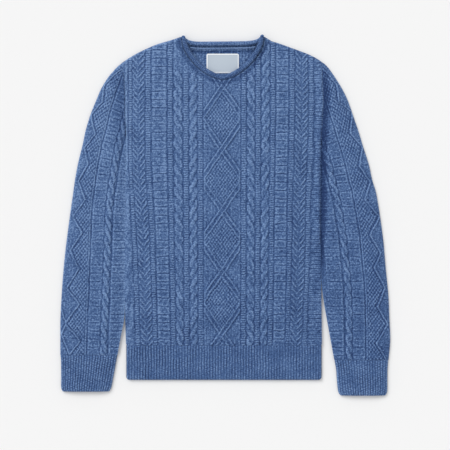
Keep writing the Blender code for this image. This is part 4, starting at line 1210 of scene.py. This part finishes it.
def knit_cuff(side_name, side):
    rows = CUFF_EDGES[side_name]
    outer = smooth_line([(CENTRE_X + side * row[1], row[0]) for row in rows], 3.0)
    inner = smooth_line([(CENTRE_X + side * row[2], row[0]) for row in rows], 3.0)
    heights = np.linspace(rows[-1][0], rows[0][0], CUFF_ROWS)
    shares = np.linspace(0, 1, 6 * CUFF_RIBS[side_name] + 1)
    near, far = (np.interp(heights, line[::-1, 1], line[::-1, 0])[:, None] for line in (inner, outer))
    low, high = (near, far) if side > 0 else (far, near)
    x = low + shares * (high - low)
    y = np.repeat(heights[:, None], x.shape[1], 1)
    kept = np.ones((x.shape[0] - 1, x.shape[1] - 1), bool)

    def stitches_at(u, v):
        return rib_stitch(shares[None, :] + (u - x) / (high - low), CUFF_RIBS[side_name], v)

    ends = [np.array([outer[-1], inner[-1]]), np.array([outer[0], inner[0]])]
    def no_tuck(flat):
        return np.zeros(len(flat))

    stitches = hand_knitted(stitches_at, x, y, 50 + side)
    name, folds, bends = f"cuff_{side_name}_knit", [outer, inner], (OUTER_FOLD, OUTER_FOLD)
    return knit_tube(name, x, y, kept, stitches, folds, bends, ends, no_tuck, rib_yarn)


for side_name, side, around in (("left", -1, 0.214), ("right", 1, 0.204)):
    cuff = knit_cuff(side_name, side)
    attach(cuff, "root")
    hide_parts(f"cuff_{side_name}")


# The neckband
# One strip of plain knitting linked round the neck and left to curl, so its purl side shows in fine ridges
# round the roll. It turns over at both ends of the neck, where the front's half meets the back's.

ROLL_WALL = 2.6
ROLL_START = 222.0  # degrees round the roll, from the neck's opening, where the cloth leaves the seam
ROLL_TURN = 330.0
ROLL_OUTER_POINTS = 27
ROLL_INNER_POINTS = 7
FRONT_ROLL_HEIGHT = 10.2
FOLD_BEND = 3.0
FOLD_HEIGHT = 9.4
ROLL_STEP = 0.83
ROLL_RIDGE = 0.62
ROLL_WALE = 3.3


def unit(vector):
    return vector / np.linalg.norm(vector)


def even_line(line, step):
    """The same line with its points evenly apart."""
    walked = np.concatenate([[0.0], np.cumsum(np.linalg.norm(np.diff(line, axis=0), axis=1))])
    places = np.linspace(0, walked[-1], round(walked[-1] / step) + 1)
    return np.column_stack([np.interp(places, walked, line[:, 0]), np.interp(places, walked, line[:, 1])])


def roll_branch(line, tips, height_of, outward, turn):
    """The roll's stations along one half of the neck: centre, up the neck, outwards, radius."""
    stations = []
    for point, run, radius in list(zip(line, np.gradient(line, axis=0), roll_radius(line)))[1:-1]:
        near_tip = min(math.dist(point, tip) for tip in tips)
        neckward = unit(np.array([turn * run[1], -turn * run[0], 0.0]))
        stations.append((np.array([point[0], point[1], height_of(near_tip)]), neckward, outward, radius))
    return stations


def roll_turn(before, after, tip):
    """The stations of the fold at one end of the neck."""
    axis = unit(before[1] + after[1])
    away = unit(np.cross(axis, before[2]))
    away *= math.copysign(1.0, away[0] * (tip[0] - NECK_CENTRE))
    stations = []
    for angle in np.radians(np.linspace(10, 170, 13)):
        outward = unit(math.cos(angle) * before[2] + math.sin(angle) * away)
        blend = angle / math.pi
        neckward = (1 - blend) * before[1] + blend * after[1]
        neckward = unit(neckward - neckward.dot(outward) * outward)
        centre = np.array([tip[0], tip[1], FOLD_HEIGHT]) + FOLD_BEND * outward
        stations.append((centre, neckward, outward, FOLD_ROLL_RADIUS))
    return stations


def roll_stations():
    front = even_line(neck_front_line(400), ROLL_STEP)
    back = even_line(neck_back_line(300), ROLL_STEP)
    tips, up_z = (front[0], front[-1]), np.array([0.0, 0.0, 1.0])
    high, low = FOLD_HEIGHT + FOLD_BEND, FOLD_HEIGHT - FOLD_BEND

    def front_height(near_tip):
        return high + (FRONT_ROLL_HEIGHT - high) * smoothstep(near_tip / (3 * FOLD_REACH))

    def back_height(near_tip):
        return low + (ROLL_RADIUS - low) * smoothstep(near_tip / FOLD_REACH)

    over = roll_branch(front, tips, front_height, up_z, 1.0)
    under = roll_branch(back[::-1], tips, back_height, -up_z, -1.0)
    return over + roll_turn(over[-1], under[0], tips[1]) + under + roll_turn(under[-1], over[0], tips[0])


def knit_neckband():
    stations = roll_stations()
    count = len(stations)
    start, end = math.radians(ROLL_START), math.radians(ROLL_START + ROLL_TURN)
    outer, inner = np.linspace(start, end, ROLL_OUTER_POINTS), np.linspace(end, start, ROLL_INNER_POINTS)
    centres = np.array([station[0] for station in stations])
    walked = np.concatenate([[0.0], np.cumsum(np.linalg.norm(np.diff(centres, axis=0), axis=1))])
    wales = round(walked[-1] / ROLL_WALE)
    knit, rings, places = Knit(), [], []
    for k, (centre, neckward, outward, radius) in enumerate(stations):
        wale = walked[k] / walked[-1] * wales
        wall = ROLL_WALL * radius / ROLL_RADIUS
        ends = np.clip(np.minimum(outer - start, end - outer) / 0.35, 0, 1)
        rows = ripple(outer * radius / PLAIN_ALONG + 0.5 * math.floor(wale))
        ridge = ROLL_RIDGE * lobe(wale, 2.2) * (0.72 + 0.28 * rows)
        out = np.concatenate([radius - 0.35 + (ridge - 0.2) * ends, np.full(len(inner), radius - wall)])
        around = np.concatenate([outer, inner])
        ring = centre + (out * np.cos(around))[:, None] * neckward + (out * np.sin(around))[:, None] * outward
        # painted light on the roll: the half over the front darker and the half under it paler, its ridges
        # lighter and the inside of the tube darker
        painted_facing_shade = 0.15 - 0.3 * outward[2]
        crest = np.concatenate([(ridge / ROLL_RIDGE * 2 - 1.2) * 0.8 + painted_facing_shade, np.full(len(inner), -0.6)])
        rings.append(knit.add_points(ring, crest))
        places.append(np.column_stack([np.full(len(around), walked[k]), around * radius]))
    for k in range(count):
        knit.join(rings[k], rings[(k + 1) % count], closed=True)
    along = np.vstack(places)
    return knit.make("neckband_knit", roll_yarn, lambda points: along)


# the roll's yarn is painted a little darker, as painted shade
roll_yarn = yarn_material("roll_yarn", ROLL_WALE, PLAIN_ALONG, 1.25, paler=-0.03)
neckband = knit_neckband()
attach(neckband, "root")
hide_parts("neckband_roll")


# The linking at the back of the neck
# A chain, one link to each stitch, which joins the band to the back panel below the roll. It is painted paler
# than the body as a painted highlight, most at the middle of each link.

CHAIN_RADIUS = 1.25
CHAIN_LINK = 3.3
CHAIN_STEP = 0.66
CHAIN_SIDES = 8
CHAIN_BELOW_ROLL = 3.4
CHAIN_LIFT = 2.2  # over the back's own knit


def knit_chain():
    line = even_line(inset_line(neck_back_line(300), ROLL_RADIUS + CHAIN_BELOW_ROLL), CHAIN_STEP)
    line = line[(np.abs(line[:, 0] - NECK_CENTRE) < NECK_HALF_WIDTH - 12.0)]
    runs = np.gradient(line, axis=0)
    knit, rings = Knit(), []
    turns = np.linspace(0, 2 * np.pi, CHAIN_SIDES, endpoint=False)
    across, upward = np.cos(turns)[:, None], np.sin(turns)[:, None] * np.array([0, 0, 1.0])
    for k, (point, run) in enumerate(zip(line, runs)):
        side = unit(np.array([-run[1], run[0], 0.0]))
        link = lobe(k * CHAIN_STEP / CHAIN_LINK, 2.0)
        end = min(k, len(line) - 1 - k) / 3.0
        radius = CHAIN_RADIUS * (0.55 + 0.45 * link) * min(1.0, 0.35 + end)
        centre = np.array([point[0], point[1], BACK_TOP + CHAIN_LIFT + CHAIN_RADIUS])
        ring = centre + radius * (across * side + upward)
        # painted highlight, strongest at each link's middle
        rings.append(knit.add_points(ring, np.full(CHAIN_SIDES, 1.2 * link + 0.6)))
    for one, other in zip(rings, rings[1:]):
        knit.join(one, other, closed=True)
    knit.faces += [rings[0].tolist(), rings[-1].tolist()[::-1]]
    return knit.make("neck_linking", body_yarn)


chain = knit_chain()
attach(chain, "root")
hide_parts("neckband_roll")


# The label
# A woven satin label with a pale edge round a blank grey-blue field. It is turned under all round and sewn
# to the inside of the back.

LABEL_SIZE = (65.0, 39.0)
LABEL_THICKNESS = 0.8
LABEL_CENTRE = (CENTRE_X + 1.5, 304.5)
LABEL_CORNER = 3.0
LABEL_FLOOR = 3.3
LABEL_BORDER = 3.2
LABEL_WHITE = (0.82, 0.86, 0.90, 1.0)
LABEL_FIELD = (0.50, 0.57, 0.65, 1.0)
LABEL_LINE = (0.30, 0.37, 0.48, 1.0)


def satin_material():
    """Fine woven satin with a line along its edge, read across the label in millimetres."""
    material = bpy.data.materials.new("label_satin")
    material.use_nodes = True
    tree = material.node_tree
    shader = tree.nodes["Principled BSDF"]
    shader.inputs["Roughness"].default_value = 0.55
    shader.inputs["Specular IOR Level"].default_value = 0.35
    shader.inputs["Sheen Weight"].default_value = 0.1
    cloth = add_node(tree, "ShaderNodeUVMap", uv_map="cloth")
    apart = add_node(tree, "ShaderNodeSeparateXYZ")
    tree.links.new(cloth.outputs[0], apart.inputs[0])
    off = []
    for axis in (0, 1):
        place = sum_of(tree, "SUBTRACT", apart.outputs[axis], LABEL_CENTRE[axis] * MM)
        off.append(sum_of(tree, "SUBTRACT", LABEL_SIZE[axis] / 2 * MM, sum_of(tree, "ABSOLUTE", place)))
    from_edge = sum_of(tree, "MINIMUM", off[0], off[1])
    beside = sum_of(tree, "ABSOLUTE", sum_of(tree, "SUBTRACT", from_edge, LABEL_BORDER * MM))
    on_line = sum_of(tree, "LESS_THAN", beside, 0.3 * MM)
    mix = add_node(tree, "ShaderNodeMix", data_type="RGBA")
    tree.links.new(on_line, mix.inputs[0])
    field = add_node(tree, "ShaderNodeMix", data_type="RGBA")
    tree.links.new(sum_of(tree, "GREATER_THAN", from_edge, LABEL_BORDER * MM), field.inputs[0])
    field.inputs[6].default_value, field.inputs[7].default_value = LABEL_WHITE, LABEL_FIELD
    tree.links.new(field.outputs[2], mix.inputs[6])
    mix.inputs[7].default_value = LABEL_LINE
    tree.links.new(mix.outputs[2], shader.inputs["Base Color"])
    weave = add_node(tree, "ShaderNodeTexWave", bands_direction="Y")
    weave.inputs["Scale"].default_value = 600.0
    weave.inputs["Distortion"].default_value = 0.6
    tree.links.new(cloth.outputs[0], weave.inputs["Vector"])
    bump = add_node(tree, "ShaderNodeBump")
    bump.inputs["Strength"].default_value = 0.25
    bump.inputs["Distance"].default_value = 0.2 * MM
    tree.links.new(weave.outputs["Fac"], bump.inputs["Height"])
    tree.links.new(bump.outputs[0], shader.inputs["Normal"])
    return material


def weave_label():
    """A thin slab with rounded corners and a slightly raised turned-under edge."""
    half = np.array(LABEL_SIZE) / 2
    turns = np.radians(np.linspace(0, 90, 5))
    corners = []
    for turn, (sx, sy) in enumerate(((1, 1), (-1, 1), (-1, -1), (1, -1))):
        centre = np.array(LABEL_CENTRE) + np.array([sx, sy]) * (half - LABEL_CORNER)
        angles = turns + turn * np.pi / 2
        corners.append(centre + LABEL_CORNER * np.column_stack([np.cos(angles), np.sin(angles)]))
    outline = np.vstack(corners)
    ring = np.vstack([outline, outline[:1]])
    edge = even_line(ring, 1.5)[:-1]
    closed = np.vstack([edge, edge[:1]])
    knit = Knit()

    def top(flat):
        gap = nearest_on(flat, closed)[0]
        wave = 0.12 * np.sin(flat[:, 0] / 9.0) * np.sin(flat[:, 1] / 7.0)
        turned = 0.25 * bell(gap, 1.4, 1.3)
        return LABEL_FLOOR + LABEL_THICKNESS - 0.35 * rounding(flat, [closed], 0.8) + turned + wave

    upper = knit.add_points(np.column_stack([edge, top(edge)]))
    lower = knit.add_points(np.column_stack([edge, np.full(len(edge), LABEL_FLOOR)]))
    knit.add_plain(upper, edge, top, 1.5)
    knit.add_plain(lower, edge, lambda flat: np.full(len(flat), LABEL_FLOOR), 20.0)
    knit.join(upper, lower, closed=True)
    return knit.make("label_cloth", satin_material())


label = weave_label()
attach(label, "root")
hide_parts("neck_label")


# The table and the light
# The sweater lies on a plain pale table. A large soft light hangs over its upper left corner, with white
# walls all round, and the camera looks straight down on it.

TABLE_SIDE = 12.0  # in metres, as is all of this section
TABLE_DROP = 0.0003  # just clear of the cloth
TABLE_GREY = (0.90, 0.90, 0.90, 1.0)
LAMP_STRENGTH = 1.53
LAMP_SPREAD = 34.0
LAMP_PLACE = (-1.5, 1.7, 2.0)
ROOM_STRENGTH = 0.70
CAMERA_PLACE = (-0.0008, -0.019, 2.131)
CAMERA_LENS = 85.0
table_mesh = bpy.data.meshes.new("table")
corner = TABLE_SIDE / 2
corners = [(-corner, -corner, 0), (corner, -corner, 0), (corner, corner, 0), (-corner, corner, 0)]
table_mesh.from_pydata(corners, [], [(0, 1, 2, 3)])
table = bpy.data.objects.new("table", table_mesh)
table.location.z = -TABLE_DROP
bpy.context.scene.collection.objects.link(table)
paint = bpy.data.materials.new("table_paint")
paint.use_nodes = True
paint.node_tree.nodes["Principled BSDF"].inputs["Base Color"].default_value = TABLE_GREY
paint.node_tree.nodes["Principled BSDF"].inputs["Roughness"].default_value = 0.9
table_mesh.materials.append(paint)

world = bpy.data.worlds.new("white_room")
world.use_nodes = True
world.node_tree.nodes["Background"].inputs["Color"].default_value = (1.0, 1.0, 1.0, 1.0)
world.node_tree.nodes["Background"].inputs["Strength"].default_value = ROOM_STRENGTH
bpy.context.scene.world = world

lamp_data = bpy.data.lights.new("soft_box", "SUN")
lamp_data.energy = LAMP_STRENGTH
lamp_data.angle = math.radians(LAMP_SPREAD)
lamp = bpy.data.objects.new("soft_box", lamp_data)
lamp.location = LAMP_PLACE
lamp.rotation_euler = (-Vector(LAMP_PLACE)).to_track_quat("-Z", "Y").to_euler()
bpy.context.scene.collection.objects.link(lamp)

camera_data = bpy.data.cameras.new("overhead_camera")
camera_data.lens = CAMERA_LENS
camera_data.sensor_width = 36.0
camera_data.clip_end = 50.0
camera = bpy.data.objects.new("overhead_camera", camera_data)
camera.location = CAMERA_PLACE
bpy.context.scene.collection.objects.link(camera)
bpy.context.scene.camera = camera
bpy.context.scene.view_settings.view_transform = "Standard"
